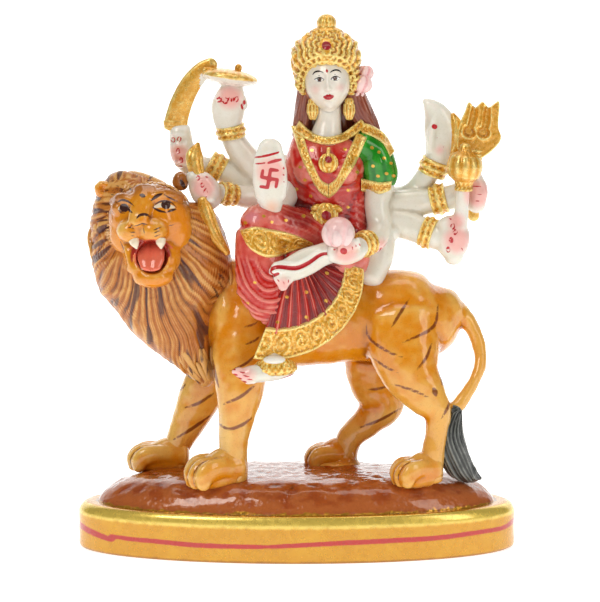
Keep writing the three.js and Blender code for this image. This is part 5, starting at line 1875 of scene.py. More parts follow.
    right_digits: Rows = (
        (at(218.5, 99, 0.9), at(240, 99, 0.9), 4, [[0.1, -0.2, 0.9], [0.3, 0.3, 1.6]], 0.8),
        (
            at(174.5, 135, 3.0), at(177, 164, 3.0), 4,
            [[0.3, -0.3, 0], [1.3, -0.5, -0.1], [2.3, -0.1, -0.2]], 0.78,
        ),
        (at(196, 179, -6.4), at(206, 199, -6.4), 4, [[0.6, -0.2, -0.2], [1.5, 0.0, -0.5]], 0.72),
    )
    right_marks: Strokes = (
        *rings((173, 140), (179, 139), (178, 151), (181, 160)), Stroke(((179, 166), (183, 166.5)), 1.6),
        Stroke(((181, 158), (183, 163)), 1.4), *rings((198, 178), (202, 185), size=2.4),
        Stroke(((205, 176.5), (209, 178)), 1.7), Stroke(((203, 193), (206, 188), (207.5, 193)), 1.5),
        Stroke(((204, 198), (207.5, 196.5)), 1.4),
        Stroke(((217, 99), (220, 97.5), (221, 101), (218, 102)), 2.2, 0.2),
        Stroke(((221, 99), (225, 103.5), (229, 102)), 1.6), Stroke(((223, 97), (228, 99), (226, 104)), 1.6),
        Stroke(((230, 96.5), (231.5, 102)), 1.4), Stroke(((233, 97), (233.5, 102)), 1.4),
        *rings((236.5, 99), size=2.8), Stroke(((244, 101), (244.5, 103.5)), 3.0, 0.2),
        Stroke(((241.5, 104.5), (242.5, 109)), 2.6, 0.3),
        # The palm: two pairs of finger bands, ticks at the side and the auspicious mark
        Stroke(((255, 157.6), (266, 155.8), (279, 152.3)), 2.4, 0.3),
        Stroke(((255.4, 164), (266, 162.8)), 1.9, 0.3),
        Stroke(((268, 163), (273, 161.4), (281, 159.6)), 3.2, 0.3),
        Stroke(((283.2, 167.5), (284, 169)), 2.0, 0.2), Stroke(((283, 174.5), (284.5, 175.5)), 1.6, 0.2),
        Stroke(((283.6, 181.5), (285, 182.6)), 1.4, 0.2),
        Stroke(((270.6, 169.4), (268.9, 179.0), (267.6, 187.6)), 3.7, 0.1),
        Stroke(((261.6, 177.0), (269, 178.6), (277.4, 179.6)), 3.7, 0.1),
        Stroke(((270.6, 169.4), (277.6, 170.6)), 3.4, 0.1),
        Stroke(((277.4, 179.6), (276.0, 187.0)), 3.4, 0.1),
        Stroke(((267.6, 187.6), (260.8, 186.6)), 3.4, 0.1),
        Stroke(((261.6, 177.0), (262.8, 170.4)), 3.4, 0.1),
    )
    left_limbs: Limbs = (
        ((0.4, 0.4), (
            [17, 2.4, 60, 3.6, 3.2], [22, 4, 58.8, 3.3, 3], [25.6, 4.4, 60.4, 2.8, 2.6],
            [28, 4.1, 63.6, 2.5, 2.4], [29.8, 3.5, 67, 2.3, 2.3],
        )),
        ((0.9, 0.9), (
            at(437, 112, 1.6, 0.6, 0.5), at(431, 130, 1.1, 0.8, 0.6), at(430, 150, 1.2, 0.8, 0.6),
        )),
        ((0.4, 0.6), (
            [18, 2, 57.6, 3.6, 3.2], [25.6, 2.2, 58.6, 3.1, 2.8], [31.4, 1.5, 59.6, 2.6, 2.5],
            [36, 1.4, 60.6, 2.9, 2.5],
        )),
        ((0.6, 0.7), ([37.6, 1.2, 66.6, 2.0, 1.8], [37.4, 1.2, 63, 2.4, 2.0], [37.2, 1.2, 59, 2.0, 1.8])),
        ((0.4, 0.4), (
            [17.6, 0.8, 55, 3.6, 3.2], [23.4, 0.2, 54.2, 3.2, 2.9], [28.2, -1.2, 52.6, 3, 2.7],
            [31, -2.2, 51.6, 2.8, 2.5],
        )),
        ((0.6, 0.8), (
            at(448, 223, -2.8, 2.6, 2.1), at(452, 236, -2.9, 3.9, 2.5), at(453, 249, -2.9, 3.3, 2.3),
            at(454, 258, -2.9, 2.0, 1.7),
        )),
        ((0.4, 0.4), ([36.0, -3.3, 62.5, 1.5, 1.5], [35.4, -3.3, 53, 1.6, 1.6])),
        ((0.3, 0.4), (
            [13.4, 1, 72.2, 3.4, 3.2], [17.2, 1.2, 68.8, 3.9, 3.4], [18, 0.6, 64, 3.5, 3.1],
            [17.4, -0.6, 58.7, 2.7, 2.6], [18, -2.4, 53.6, 2.7, 2.6], [16.6, -6, 51.2, 2.5, 2.4],
            [13.8, -10, 50.6, 2.1, 2.1],
        )),
        ((0.5, 0.6), (
            [13.4, -10.6, 50, 2.2, 2], [10.6, -12.6, 49.6, 2.7, 2], [7.6, -13.6, 49.8, 2.2, 1.6],
        )),
    )
    left_eggs: Eggs = (
        ([17.6, -2.2, 51.8], [3.0, 2.8, 3.2]), ([20.2, -1.6, 52.4], [2.2, 2.0, 2.0]),
    )
    left_digits: Rows = (
        (at(456, 228, -4.3), at(456, 250, -4.3), 4, [[0.8, -0.1, 0.05], [1.5, 0.5, 0.1]], 0.8),
        ([13.0, -13.4, 50.6], [9.0, -15.2, 49.6], 5, [[0.3, -0.7, 0.8], [0.1, -0.6, 2.2]], 0.66),
    )
    conch: Path = (
        at(436, 166, 3.4, 2.5, 2.2), at(440, 148, 3, 3.3, 2.3), at(441, 130, 3, 3.7, 2.2),
        at(436, 114, 3, 2.9, 1.9), at(428.5, 104, 3, 1.5, 1.3), at(425, 101, 3, 0.7, 0.8),
    )
    ringed_grip: Path = (
        at(475, 179, 0.2, 1.8, 1.8), at(478, 190, 0.1, 2.2, 2.0), at(476, 205, 0.2, 2.0, 1.9),
    )
    left_marks: Strokes = (
        *dots((434.6, 126.5), width=5.0), Stroke(((443, 146), (444.6, 148)), 1.2),
        Stroke(((437, 137), (438, 139)), 1.4), Stroke(((449, 218), (452, 220)), 1.8),
        *rings((452.6, 226), (455, 232), (451, 240), (448, 249.5), size=2.8),
        Stroke(((451, 239), (452.6, 243)), 1.8), Stroke(((447, 248), (450, 250)), 1.6),
        Stroke(((461, 247), (463, 251)), 1.5), *dots((343.7, 251), width=6.4),
        Stroke(((352, 246), (353, 250)), 1.5), Stroke(((355.6, 244.6), (356.8, 248.6)), 1.4),
        Stroke(((359, 243), (360.4, 246.6)), 1.4), Stroke(((333, 249.4), (336, 250)), 1.8),
        Stroke(((371, 254), (374, 257), (379, 254), (381, 248), (384, 249)), 1.8),
        Stroke(((391, 243), (394, 247), (391, 252)), 1.4), Stroke(((472, 186), (483, 187)), 1.3),
        Stroke(((473, 193), (483, 195)), 1.3), Stroke(((473, 200), (482, 202)), 1.3),
        Stroke(((352, 265), (357, 263.6)), 1.1),
    )
    sword: Path = (
        [-26.4, 4.3, 74.8, 2.5, 1.0], [-26.1, 4.2, 77, 2.5, 1.0], [-24.9, 3.9, 80.8, 2.4, 1.0],
        [-22.8, 3.7, 84.8, 2.2, 1.0], [-20.2, 3.5, 87.7, 1.9, 1.0], [-18.6, 3.4, 88.8, 1.5, 0.9],
    )
    bow_leaf: Path = (
        [-21.2, -3.4, 72.2, 0.4, 0.4], [-22, -4.2, 69.4, 1.8, 1.2], [-21.4, -4.8, 66, 1.6, 1.2],
        [-20.6, -5.2, 63.8, 1.0, 1.0],
    )
    bow_end: Path = (
        [-20.2, -6.4, 60.4, 1.2, 1.1], [-19.4, -6.8, 57.6, 1.6, 1.1], [-17.6, -7.6, 53.2, 1.4, 1],
        [-14.8, -8.4, 49, 0.7, 0.7],
    )
    mace: Path = (
        [36.4, -3.3, 71.4, 1.2, 1.2], [36.4, -3.3, 70.6, 1.3, 1.3], [36.3, -3.3, 69.4, 3.0, 3.0],
        [36.3, -3.3, 67.2, 3.6, 3.6], [36.2, -3.3, 65, 3.1, 3.1], [36.1, -3.3, 63.6, 1.6, 1.6],
    )
    side_prong: Path = (
        [34.0, 2.2, 69.4, 1.0, 1.0], [34.7, 2.2, 73, 1.5, 1.2], [34.5, 2.2, 76.4, 1.2, 1.1],
        [34.0, 2.2, 78, 0.5, 0.6],
    )
    # x and height of the trident's outline
    trident_edge: Path = (
        [34.8, 70.8], [36.6, 68.9], [39.0, 68.2], [41.6, 69.6], [44, 72], [44.4, 73.4], [43.8, 75.4],
        [43.8, 81.0], [43.0, 80.6], [41.7, 79.7], [40.4, 80.9], [39.6, 80.4], [38.7, 79.6], [37.4, 80.8],
        [36.5, 78.8], [35.6, 76.6], [35, 74.6],
    )
    sleeve_path: Path = (
        [13.8, -0.4, 72.0, 3.2, 3.4], [16.7, 0.2, 69.6, 3.8, 3.8], [17.9, 0.4, 66, 4.0, 3.9],
        [17.9, 0.4, 63.2, 3.6, 3.5],
    )
    hair_right: Path = (
        [2.6, 1.4, 87, 1.6, 2.4], [1.9, 1.6, 80.5, 1.9, 2.4], [1.2, 2.0, 76.4, 1.9, 2.2],
        [0.6, 2.4, 73.4, 1.3, 1.3],
    )
    hair_left: Path = (
        [11, 1.6, 87, 1.9, 2.4], [13, 1.8, 80.5, 2.6, 2.5], [15.4, 2.2, 75.6, 2.3, 2.2],
        [17.8, 2.6, 71.6, 1.1, 1.2],
    )
    hair_fall: Path = (
        [6.4, 3.4, 88, 5, 3], [6.8, 4.4, 79, 6, 3], [7.2, 5, 71, 6.6, 2.8], [6.8, 5.6, 62, 6.6, 2.4],
        [6.8, 6, 54, 4, 2], [6.8, 6, 49, 1.2, 1],
    )
    neck: Path = (
        [6.4, -0.4, 69.6, 5.6, 3.6], [6.4, -0.5, 72.2, 4.8, 3.6], [6.6, -0.3, 74.4, 3.3, 3.0],
        [6.9, 0.0, 77, 2.75, 2.6], [7.0, 0.1, 80, 2.7, 2.6], [6.8, 0.2, 83, 3.0, 3.0],
    )
    crown_dome: Path = (
        [6.6, 2.8, 83.2, 5.6, 4.0], [6.5, 2.0, 86.2, 6.8, 4.6], [6.4, 1.2, 89.2, 7.5, 5.4],
        [6.4, 0.7, 91.6, 7.4, 6.7], [6.5, 0.6, 94, 6.3, 5.4], [6.5, 0.6, 95.8, 4.0, 3.4],
        [6.5, 0.6, 97.0, 2.2, 2.2],
    )
    # Height, place across and up, half width and half height of each bump of the face, in
    # millimetres: bridge, tip and wings of the nose, brows, eye sockets, eyeballs, cheeks, lips, the
    # line between them, the hollow under them, chin, and the groove under the nose
    face_bumps: tuple[tuple[float, ...], ...] = (
        (0.75, 0, 1.2, 0.75, 2.9), (1.15, 0, -1.45, 0.95, 0.95), (0.3, 0.95, -1.75, 0.5, 0.5),
        (0.22, 3.0, 4.1, 2.2, 0.8), (-0.75, 2.75, 1.9, 1.7, 1.15), (0.58, 2.75, 1.75, 1.25, 0.85),
        (0.35, 4.0, -2.2, 2.2, 2.2), (0.62, 0, -4.3, 1.5, 0.5), (0.6, 0, -5.25, 1.25, 0.5),
        (-0.25, 0, -4.8, 1.9, 0.16), (-0.3, 0, -6.3, 1.5, 0.45), (0.75, 0, -7.9, 1.7, 1.2),
        (-0.16, 0, -3.2, 0.28, 0.6),
    )
    # Upper and lower edge as the viewer sees them, and height above the cloth in hundredths
    bands: tuple[tuple[Path, Path, float], ...] = (
        (
            ((291, 126), (299, 152), (309, 175), (320, 193), (328.6, 198.5)),
            ((301, 125), (308, 150), (316, 170), (322, 180.5), (328.6, 184)),
            0.45,
        ),
        (
            ((367, 138), (356, 163), (345, 180.5), (336, 193), (328.6, 198.5)),
            ((357, 132), (348, 152), (340.5, 169.5), (335, 179.5), (328.6, 184)),
            0.45,
        ),
        (
            ((293, 131), (305, 139), (317, 143.5), (329, 145), (343, 142), (355, 135.5), (367, 126)),
            ((299, 120), (309, 129.5), (318, 135), (329, 136.5), (341, 133.5), (351, 127), (361, 118)),
            0.8,
        ),
        (
            ((357, 121), (371, 125), (385, 134), (395, 151)),
            ((362, 133), (373, 137), (383, 144), (390, 157)),
            0.5,
        ),
        (
            ((361, 178), (369, 180), (380, 182), (392, 181)),
            ((361, 191), (369, 193), (380, 194), (391, 190)),
            0.6,
        ),
    )
    belt: tuple[Path, Path] = (
        ((240, 230), (255, 226.5), (268, 228.5), (293, 234), (313, 243)),
        ((241, 234), (249, 248), (264, 257), (277, 257), (294, 251), (314, 245)),
    )
    # What cuff() takes: both middles, half width, half depth and count of ribs
    cuffs: tuple[tuple[Station, Station, float, float, int], ...] = (
        ((-14.1, 3.5, 73.0), (-14.5, 3.1, 75.6), 3.2, 2.9, 3),
        ((-14.6, 3.1, 75.2), (-14.8, 2.9, 77.2), 2.6, 2.4, 2),
        ((-16.2, 4.7, 65.4), (-19.2, 4.7, 67.1), 3.2, 2.9, 3),
        ((-13.4, 0.0, 60.6), (-16.5, -2.1, 61.4), 2.5, 2.5, 3),
        ((29.4, 3.9, 64.9), (30.6, 3.5, 67.9), 3.25, 3.1, 3),
        ((29.4, 1.8, 59.2), (32.6, 1.4, 60.0), 3.35, 3.2, 3),
        ((27.4, -0.8, 53.0), (29.8, -1.5, 52.2), 3.5, 3.3, 3),
        ((15.8, -7.2, 51.2), (13.7, -9.9, 50.9), 2.8, 2.7, 3),
    )
    gold_eggs: Eggs = (
        ([6.8, -6.6, 68.2], [1.1, 0.8, 1.1]), ([6.3, -6.6, 57.2], [1.4, 0.9, 1.45]),
        ([5.4, -6.3, 54.1], [1.3, 0.7, 1.1]),
    )
    fronts: list[Piece] = field(default_factory=list)  # what the gold is laid on

    @staticmethod
    def folds(piece: Piece, share: Array, across: Array, pitch: float, height: float) -> None:
        """Raise narrow folds of cloth: a bell curve at each pitch, with a smaller one between.

        Args:
            piece: The cloth.
            share: How far each point takes part, from 0 to 1.
            across: A value in steps that runs across the folds.
            pitch: Steps from fold to fold.
            height: Height of a fold in millimetres.
        """
        phase = across / pitch - np.round(across / pitch)
        raised = np.exp(-((phase / 0.12) ** 2)) + 0.35 * np.exp(-(((np.abs(phase) - 0.42) / 0.08) ** 2))
        piece.swell((raised - 0.35) * share * height)

    def robe(self) -> Piece:
        """Make the red robe: blouse, thigh and the swags over the shin, fused and then folded.

        Returns:
            The piece.
        """
        forms = [loft(self.torso, sides=56), *shaped(self.robe_limbs, self.robe_eggs)]
        piece = Piece("robe", gathered(forms)).fuse(self.robe_lattice, 5)
        seen = as_seen(piece.points)
        front = (piece.normals[:, 1] < 0.2).astype(float)
        wavy = 3.0 * lumps(piece.points, 0.008, 52)
        shin = front * smooth_step(254, 264, seen[:, 1]) * smooth_step(292, 282, seen[:, 0])
        sag = np.hypot(seen[:, 0] - 272, (seen[:, 1] - 258) * 0.82)
        self.folds(piece, shin * smooth_step(9, 16, sag), sag + wavy, 8.6, 0.85)
        waist = (
            front * smooth_step(196, 204, seen[:, 1]) * smooth_step(240, 230, seen[:, 1])
            * smooth_step(276, 290, seen[:, 0])
        )
        self.folds(piece, waist, seen[:, 1] - 0.5 * seen[:, 0] + wavy, 8.0, 0.45)
        bodice = front * smooth_step(206, 196, seen[:, 1]) * smooth_step(144, 152, seen[:, 1])
        self.folds(piece, bodice, np.hypot(seen[:, 0] - 345, seen[:, 1] - 150) + 2 * wavy, 13, 0.28)
        behind = smooth_step(0.1, 0.5, piece.normals[:, 1])
        self.folds(piece, behind, seen[:, 0] + 0.1 * seen[:, 1] + 2 * wavy, 11, 0.25)
        piece.swell(0.09 * lumps(piece.points, 0.0016, 51))
        piece.paint_depth_shading(26)
        piece.write("gilt", np.where(front > 0, painted(seen, self.robe_dots), FAR))
        # Painted shade in wine: a broad patch at the waist and lap, and the surfaces that face down
        wine_shade = np.hypot((seen[:, 0] - 300) / 1.3, seen[:, 1] - 216) / TINT - 4.5
        piece.write("wine_shade", np.minimum(wine_shade, 3 + 3 * piece.normals[:, 2]))
        # Painted highlight: a rose patch on the thigh
        piece.write("rose_highlight", np.hypot((seen[:, 0] - 252) / 1.2, seen[:, 1] - 217) / TINT - 2.0)
        self.fronts.append(piece)
        return piece.dress(Paint.ROBE)

    def skirt_point(self, across: Array, outward: Array, depth: Array) -> Array:
        """Spread the skirt from the lap, like a fan that draws in evenly towards the hip.

        Args:
            across: Share of the way round, from the hanging foot to the hip.
            outward: Share of the way from the lap to the hem.
            depth: Place along Y, in hundredths.

        Returns:
            Places in hundredths.
        """
        degrees = self.fan_start + self.fan_spread * across
        angle = np.radians(degrees)
        radius = (self.fan_reach - 0.1 * degrees) * outward
        return np.stack([radius * np.sin(angle), depth + 0 * angle, 50 - radius * np.cos(angle)], -1)

    def skirt(self) -> Piece:
        """Make the pleated fan of the skirt: sharp crests, with a crease on either side.

        Returns:
            The piece.
        """
        across, up = np.meshgrid(np.linspace(0, 1, 220), np.linspace(0, 1, 54))
        outward = 0.755 - 0.55 * up
        hang = -15.4 + 4.6 * across**2 + 1.6 * (outward - 0.6) ** 2
        pleat = across * 11.5 + 0.16 * np.sin(8 * across + 5 * outward) + 0.2
        phase = pleat - np.round(pleat)
        crest = np.exp(-((phase / 0.12) ** 2))
        crease = np.exp(-(((np.abs(phase) - 0.4) / 0.06) ** 2))
        uneven = 0.8 + 0.3 * np.sin(13 * across + 1)
        ridge = (0.7 * crest - 0.12 * crease) * smooth_step(0.2, 0.4, outward) * uneven
        front = to_metres(self.skirt_point(across, outward, hang - ridge))
        back = to_metres(self.skirt_point(across, 0.85 * outward, -5.0 + 0 * across))
        piece = Piece("skirt", slab(front, back))
        seen = as_seen(piece.points)
        # The pleats' crests get the painted highlight and their creases the painted shade
        hollow = 0.1 + 0.1 * smooth_step(0.1, 0.5, np.abs(phase)) + 0.14 * crease - 0.5 * crest * uneven
        hollow = hollow + 0.05 * lumps(front, 0.0018, 55)
        piece.write("hollow", np.concatenate([hollow.ravel(), np.zeros(hollow.size)]))
        piece.write("gilt", np.where(piece.normals[:, 1] < 0, painted(seen, self.robe_dots), FAR))
        # Wine towards the skirt's left end is painted shade
        piece.write("wine_shade", (345 - seen[:, 0]) / TINT - 12 + 3 * lumps(piece.points, 0.004, 53))
        return piece.dress(Paint.ROBE)

    def border(self) -> Piece:
        """Make the skirt's gold border, embossed with scrolls between two raised edges.

        Returns:
            The piece.
        """
        across, up = np.meshgrid(np.linspace(0, 1, 280), np.linspace(0, 1, 42))
        outward = 1 - 0.285 * up
        hang = -15.95 + 4.6 * across**2 + 1.6 * (outward - 0.6) ** 2
        rim = np.exp(-(((up - 0.05) / 0.035) ** 2)) + 0.55 * np.exp(-(((up - 0.97) / 0.03) ** 2))
        pattern = scrolls(across * 8.4 + 0.3, np.clip((up - 0.1) / 0.82, 0, 1))
        pattern = pattern * smooth_step(0.07, 0.13, up) * smooth_step(0.99, 0.93, up)
        drape = 0.18 * np.sin(2 * math.pi * 7.5 * across)
        points = self.skirt_point(across, outward, hang - 0.26 * rim - 0.15 * pattern - drape)
        front = to_metres(points) + 0.1 * lumps(points, 0.5, 54)[..., None] * FRONT * MILLIMETRE
        back = to_metres(self.skirt_point(across, 0.93 * outward, hang + 2.2))
        piece = Piece("skirt_border", slab(front, back))
        piece.paint_depth_shading(8)
        return piece.dress(Paint.GOLD)

    def skin(self) -> Piece:
        """Make the bare resin of her lap: seat, folded foot and hanging foot.

        Returns:
            The piece.
        """
        forms = shaped(self.lap_limbs, self.lap_eggs, self.lap_digits)
        piece = Piece("lap_and_feet", gathered(forms)).fuse(self.lap_lattice, 3)
        seen = as_seen(piece.points)
        curl = Stroke(
            (
                (278, 274), (273, 275.5), (269.5, 272), (272, 268.5), (279, 266.8), (296, 268.2),
                (308.6, 263), (321, 254.6), (329, 253.2),
            ),
            4.6, 0.35,
        )
        groove = painted(seen, (curl,))
        ridge = painted(
            seen, (Stroke(((274, 263.5), (283, 261.5), (296, 262.6), (308, 256.6), (320, 249)), 2.4, 0.4),),
        )
        front = piece.normals[:, 1] < 0.1
        press = np.where(
            front, 0.55 * smooth_step(0.25, -0.35, groove) - 0.3 * smooth_step(0.3, -0.3, ridge), 0,
        )
        piece.swell(-press)
        piece.paint_depth_shading(10)
        sole = painted(seen, (
            Stroke(((258, 384), (268, 383.5), (280, 380.5), (293, 374)), 2.2),
            Stroke(((232, 368.5), (236, 370)), 2.0), Stroke(((233, 374), (238, 375.4)), 2.0),
            Stroke(((237, 378), (242, 379)), 2.0), Stroke(((241, 381.4), (247, 382.2)), 2.0),
            Stroke(((239, 371.6), (246, 373.4)), 1.5), Stroke(((243, 375.4), (250, 377)), 1.5),
            Stroke(((247, 379), (254, 380)), 1.5), Stroke(((352, 264), (357, 263), (361, 260)), 1.2),
            Stroke(((277, 279), (279.5, 282)), 1.3), Stroke(((283, 280), (284, 284.5)), 1.3),
            Stroke(((288.6, 279), (288.4, 283.4)), 1.3),
        ))
        piece.write("scarlet", np.where(front, np.minimum(groove, sole), FAR))
        toes = np.hypot((seen[:, 0] - 241) / 1.5, seen[:, 1] - 375) / TINT - 3.0
        toes = np.minimum(toes, np.hypot(seen[:, 0] - 283, seen[:, 1] - 285) / TINT - 2.6)
        piece.write("blush", toes)
        return piece.dress(Paint.RESIN)

    def right_arms(self) -> Piece:
        """Make her four right arms: discus, sword, bow and the raised palm.

        Returns:
            The piece.
        """
        forms = [
            loft(self.palm, sides=48, rows=10, tips=(0.6, 0.9)),
            *shaped(self.right_limbs, rows=self.right_digits),
        ]
        blushes = (((230, 97), 4.2), ((179, 155), 3.6), ((204, 187), 4.2), ((271, 172), 5.0))
        return self.limbs("right_arms", forms, self.right_marks, blushes, (((272, 208), 2.2),))

    def left_arms(self) -> Piece:
        """Make her four left arms: conch, trident, mace and the hand with the lotus.

        Returns:
            The piece.
        """
        forms = [
            loft(self.conch, tips=(0.5, 0.9), sides=48),
            loft(self.ringed_grip, tips=(0.9, 0.9), relief=lambda s, a: 0.05 * np.cos(20 * s)),
            *shaped(self.left_limbs, self.left_eggs, self.left_digits),
        ]
        blushes = (
            ((440, 150), 1.0), ((478, 194), 5.0), ((457, 240), 4.6), ((382, 248), 3.2), ((346, 252), 4.0),
            ((456, 222), 3.0),
        )
        return self.limbs("left_arms", forms, self.left_marks, blushes)

    def limbs(
        self, name: str, forms: list[Form], marks: Strokes, blushes: Clouds, ambers: Clouds = (),
    ) -> Piece:
        """Fuse one side's arms, then tint the hands and paint their red marks.

        Args:
            name: The piece's name.
            forms: Arms and hands, overlapping.
            marks: Red strokes as the viewer sees them.
            blushes: Centre and radius in millimetres of the pink tints.
            ambers: The same for orange stains.

        Returns:
            The piece.
        """
        piece = Piece(name, gathered(forms)).fuse(self.arm_lattice, 3)
        piece.swell(0.07 * lumps(piece.points, 0.0022, 61))
        piece.paint_depth_shading(10)
        seen = as_seen(piece.points)
        front = piece.normals[:, 1] < 0.25
        piece.write("scarlet", np.where(front, painted(seen, marks), FAR))
        for zone, clouds in (("blush", blushes), ("amber", ambers)):
            behind = 8 * smooth_step(0.2, 0.6, piece.normals[:, 1])
            away = [np.hypot(*(seen - middle).T) / TINT - radius + behind for middle, radius in clouds]
            piece.write(zone, np.minimum.reduce(away) if away else np.full(len(seen), FAR))
        return piece.dress(Paint.RESIN)

    @staticmethod
    def cuff(start: Station, end: Station, radius: float, depth: float, ribs: int) -> Form:
        """Make a bracelet: a ribbed sleeve round a limb, with beads between the ribs.

        Args:
            start: Middle of its first edge, in hundredths.
            end: Middle of its last edge.
            radius: Half width seen from the front.
            depth: Half depth.
            ribs: How many ribs go round it.

        Returns:
            The closed form.
        """
        middle = [(a + b) / 2 for a, b in zip(start, end)]

        def relief(share: Array, angle: Array) -> Array:
            """Add a cosine along the limb to one that winds round it.

            Args:
                share: Share of the way along.
                angle: Angle round the limb.

            Returns:
                Heights in hundredths.
            """
            rib = 0.2 * np.cos(2 * math.pi * (ribs - 1) * share)
            bead = 0.12 * np.cos(13 * angle + 5 * share) * np.cos(9 * share + 2 * angle)
            return (rib + bead) * np.sin(math.pi * np.clip(share, 0.02, 0.98)) ** 0.3

        return loft(
            [
                [*start, radius * 0.93, depth * 0.93], [*middle, radius, depth],
                [*end, radius * 0.95, depth * 0.95],
            ],
            sides=60, rows=7, tips=(0.08, 0.08), relief=relief,
        )

    def ornaments(self) -> Piece:
        """Make the gold she wears: collar, garland, belt, pendant, bracelets, borders and anklet.

        Returns:
            The piece.
        """
        def grains(share: Array, across: Array) -> Array:
            """Strew grains over a band, with a raised edge.

            Args:
                share: Share of the way along.
                across: Share of the way across.

            Returns:
                Heights in hundredths.
            """
            cells = np.stack([share * 46, across * 6, 0 * share], -1)
            edge = np.exp(-(((across - 0.93) / 0.06) ** 2)) + 0.4 * np.exp(-(((across - 0.05) / 0.05) ** 2))
            return 0.17 * lumps(cells, 1.0, 57) + 0.12 * lumps(cells, 0.5, 58) + 0.22 * edge

        def vine(share: Array, across: Array) -> Array:
            """Run scrollwork between two raised edges.

            Args:
                share: Share of the way along.
                across: Share of the way across.

            Returns:
                Heights in hundredths.
            """
            edge = np.exp(-(((across - 0.06) / 0.05) ** 2)) + np.exp(-(((across - 0.94) / 0.05) ** 2))
            inner = smooth_step(0.1, 0.18, across) * smooth_step(0.9, 0.82, across)
            pattern = scrolls(share * 3.6 + 0.2, np.clip((across - 0.14) / 0.72, 0, 1))
            return 0.16 * pattern * inner + 0.2 * edge

        def scalloped(share: Array, angle: Array) -> Array:
            """Scallop the anklet's lower edge, and stipple the rest."""
            scallops = 0.3 * np.abs(np.cos(7 * angle)) ** 0.7 * smooth_step(0.5, 1, share)
            return scallops + 0.14 * np.cos(22 * angle) * np.cos(14 * share)

        cloth = Mould(*self.fronts)
        forms = [
            cloth.band(*self.belt, vine, columns=130, rows=32, lift=0.6),
            *(cloth.band(upper, lower, grains, lift=lift) for upper, lower, lift in self.bands),
            *(self.cuff(*sizes) for sizes in self.cuffs), *shaped((), self.gold_eggs),
            ball([6.8, -6.0, 68.2], [2.0, 0.9, 2.1], around=54, down=26, relief=petals(9, 0.2)),
            loft([[6.9, -5.6, 71.4, 0.4, 0.4], [6.8, -6.3, 69.8, 0.4, 0.4]], sides=16, tips=(0.5, 0.5)),
            ball([6.4, -6.0, 57.2], [2.4, 0.8, 2.4], around=54, down=26, relief=petals(10, 0.2)),
            ball(
                [3.9, -6.2, 55.6], [2.0, 1.0, 2.0], around=48, down=24,
                relief=lambda h, a: 0.25 * np.abs(np.cos(4 * a)),
            ),
            ball([8.6, -5.9, 58.4], [1.4, 0.7, 0.8], roll=20),
            ball([4.2, -5.9, 58.6], [1.2, 0.6, 0.7], roll=-24),
            loft(
                [
                    at(275.5, 358.5, -14.6, 2.7, 2.2), at(275.5, 363, -14.8, 4.2, 2.6),
                    at(275.5, 367.5, -14.8, 4.6, 2.8), at(275.5, 371, -14.7, 3.9, 2.5),
                ],
                sides=84, rows=7, tips=(0.1, 0.2), relief=scalloped,
            ),
        ]
        piece = Piece("gold_ornaments", gathered(forms))
        seen = as_seen(piece.points)
        piece.paint_depth_shading(5)
        front = piece.normals[:, 1] < 0.2
        gems = dots((328.6, 159.4), width=6.6) + dots((326.4, 215.3), width=9.0)
        piece.write("ruby", np.where(front, painted(seen, gems), FAR))
        return piece.dress(Paint.GOLD)

    def trident(self) -> Form:
        """Make the trident's head: its outline, drawn in towards the middle and closed at the back.

        The flat front gets rows of its own, so that grooves can be pressed into it.

        Returns:
            The closed form.
        """
        outline = np.array(self.trident_edge)
        edge, _ = spline(np.concatenate([outline, outline[:1]]), np.linspace(0, 1, 221)[:-1])
        core = outline.mean(axis=0)
        depth = 1.2  # of its middle plane, in hundredths
        layers = [(inset, depth - 1.04) for inset in np.linspace(0.02, 0.955, 30)]
        layers += [(0.96, 0.15), (1.0, 0.5), (1.0, 1.9), (0.96, 2.25), (0.02, 2.2)]
        flat = [(core + (edge - core) * inset, y) for inset, y in layers]
        stack = np.array(
            [np.stack([places[:, 0], y + 0 * places[:, 0], places[:, 1]], -1) for places, y in flat]
        )
        front, back = (to_metres([core[0], y, core[1]]) for y in (depth - 1.04, depth + 1))
        return tube(to_metres(stack), front, back)

    def weapons(self) -> Piece:
        """Make what the hands hold in gold: sword, discus, bow, trident and mace.

        Returns:
            The piece.
        """
        def ridged(share: Array, angle: Array) -> Array:
            """Raise six ridges, which die out towards both ends."""
            return 0.2 * np.abs(np.sin(3 * angle)) * np.sin(math.pi * np.clip(share, 0, 1))

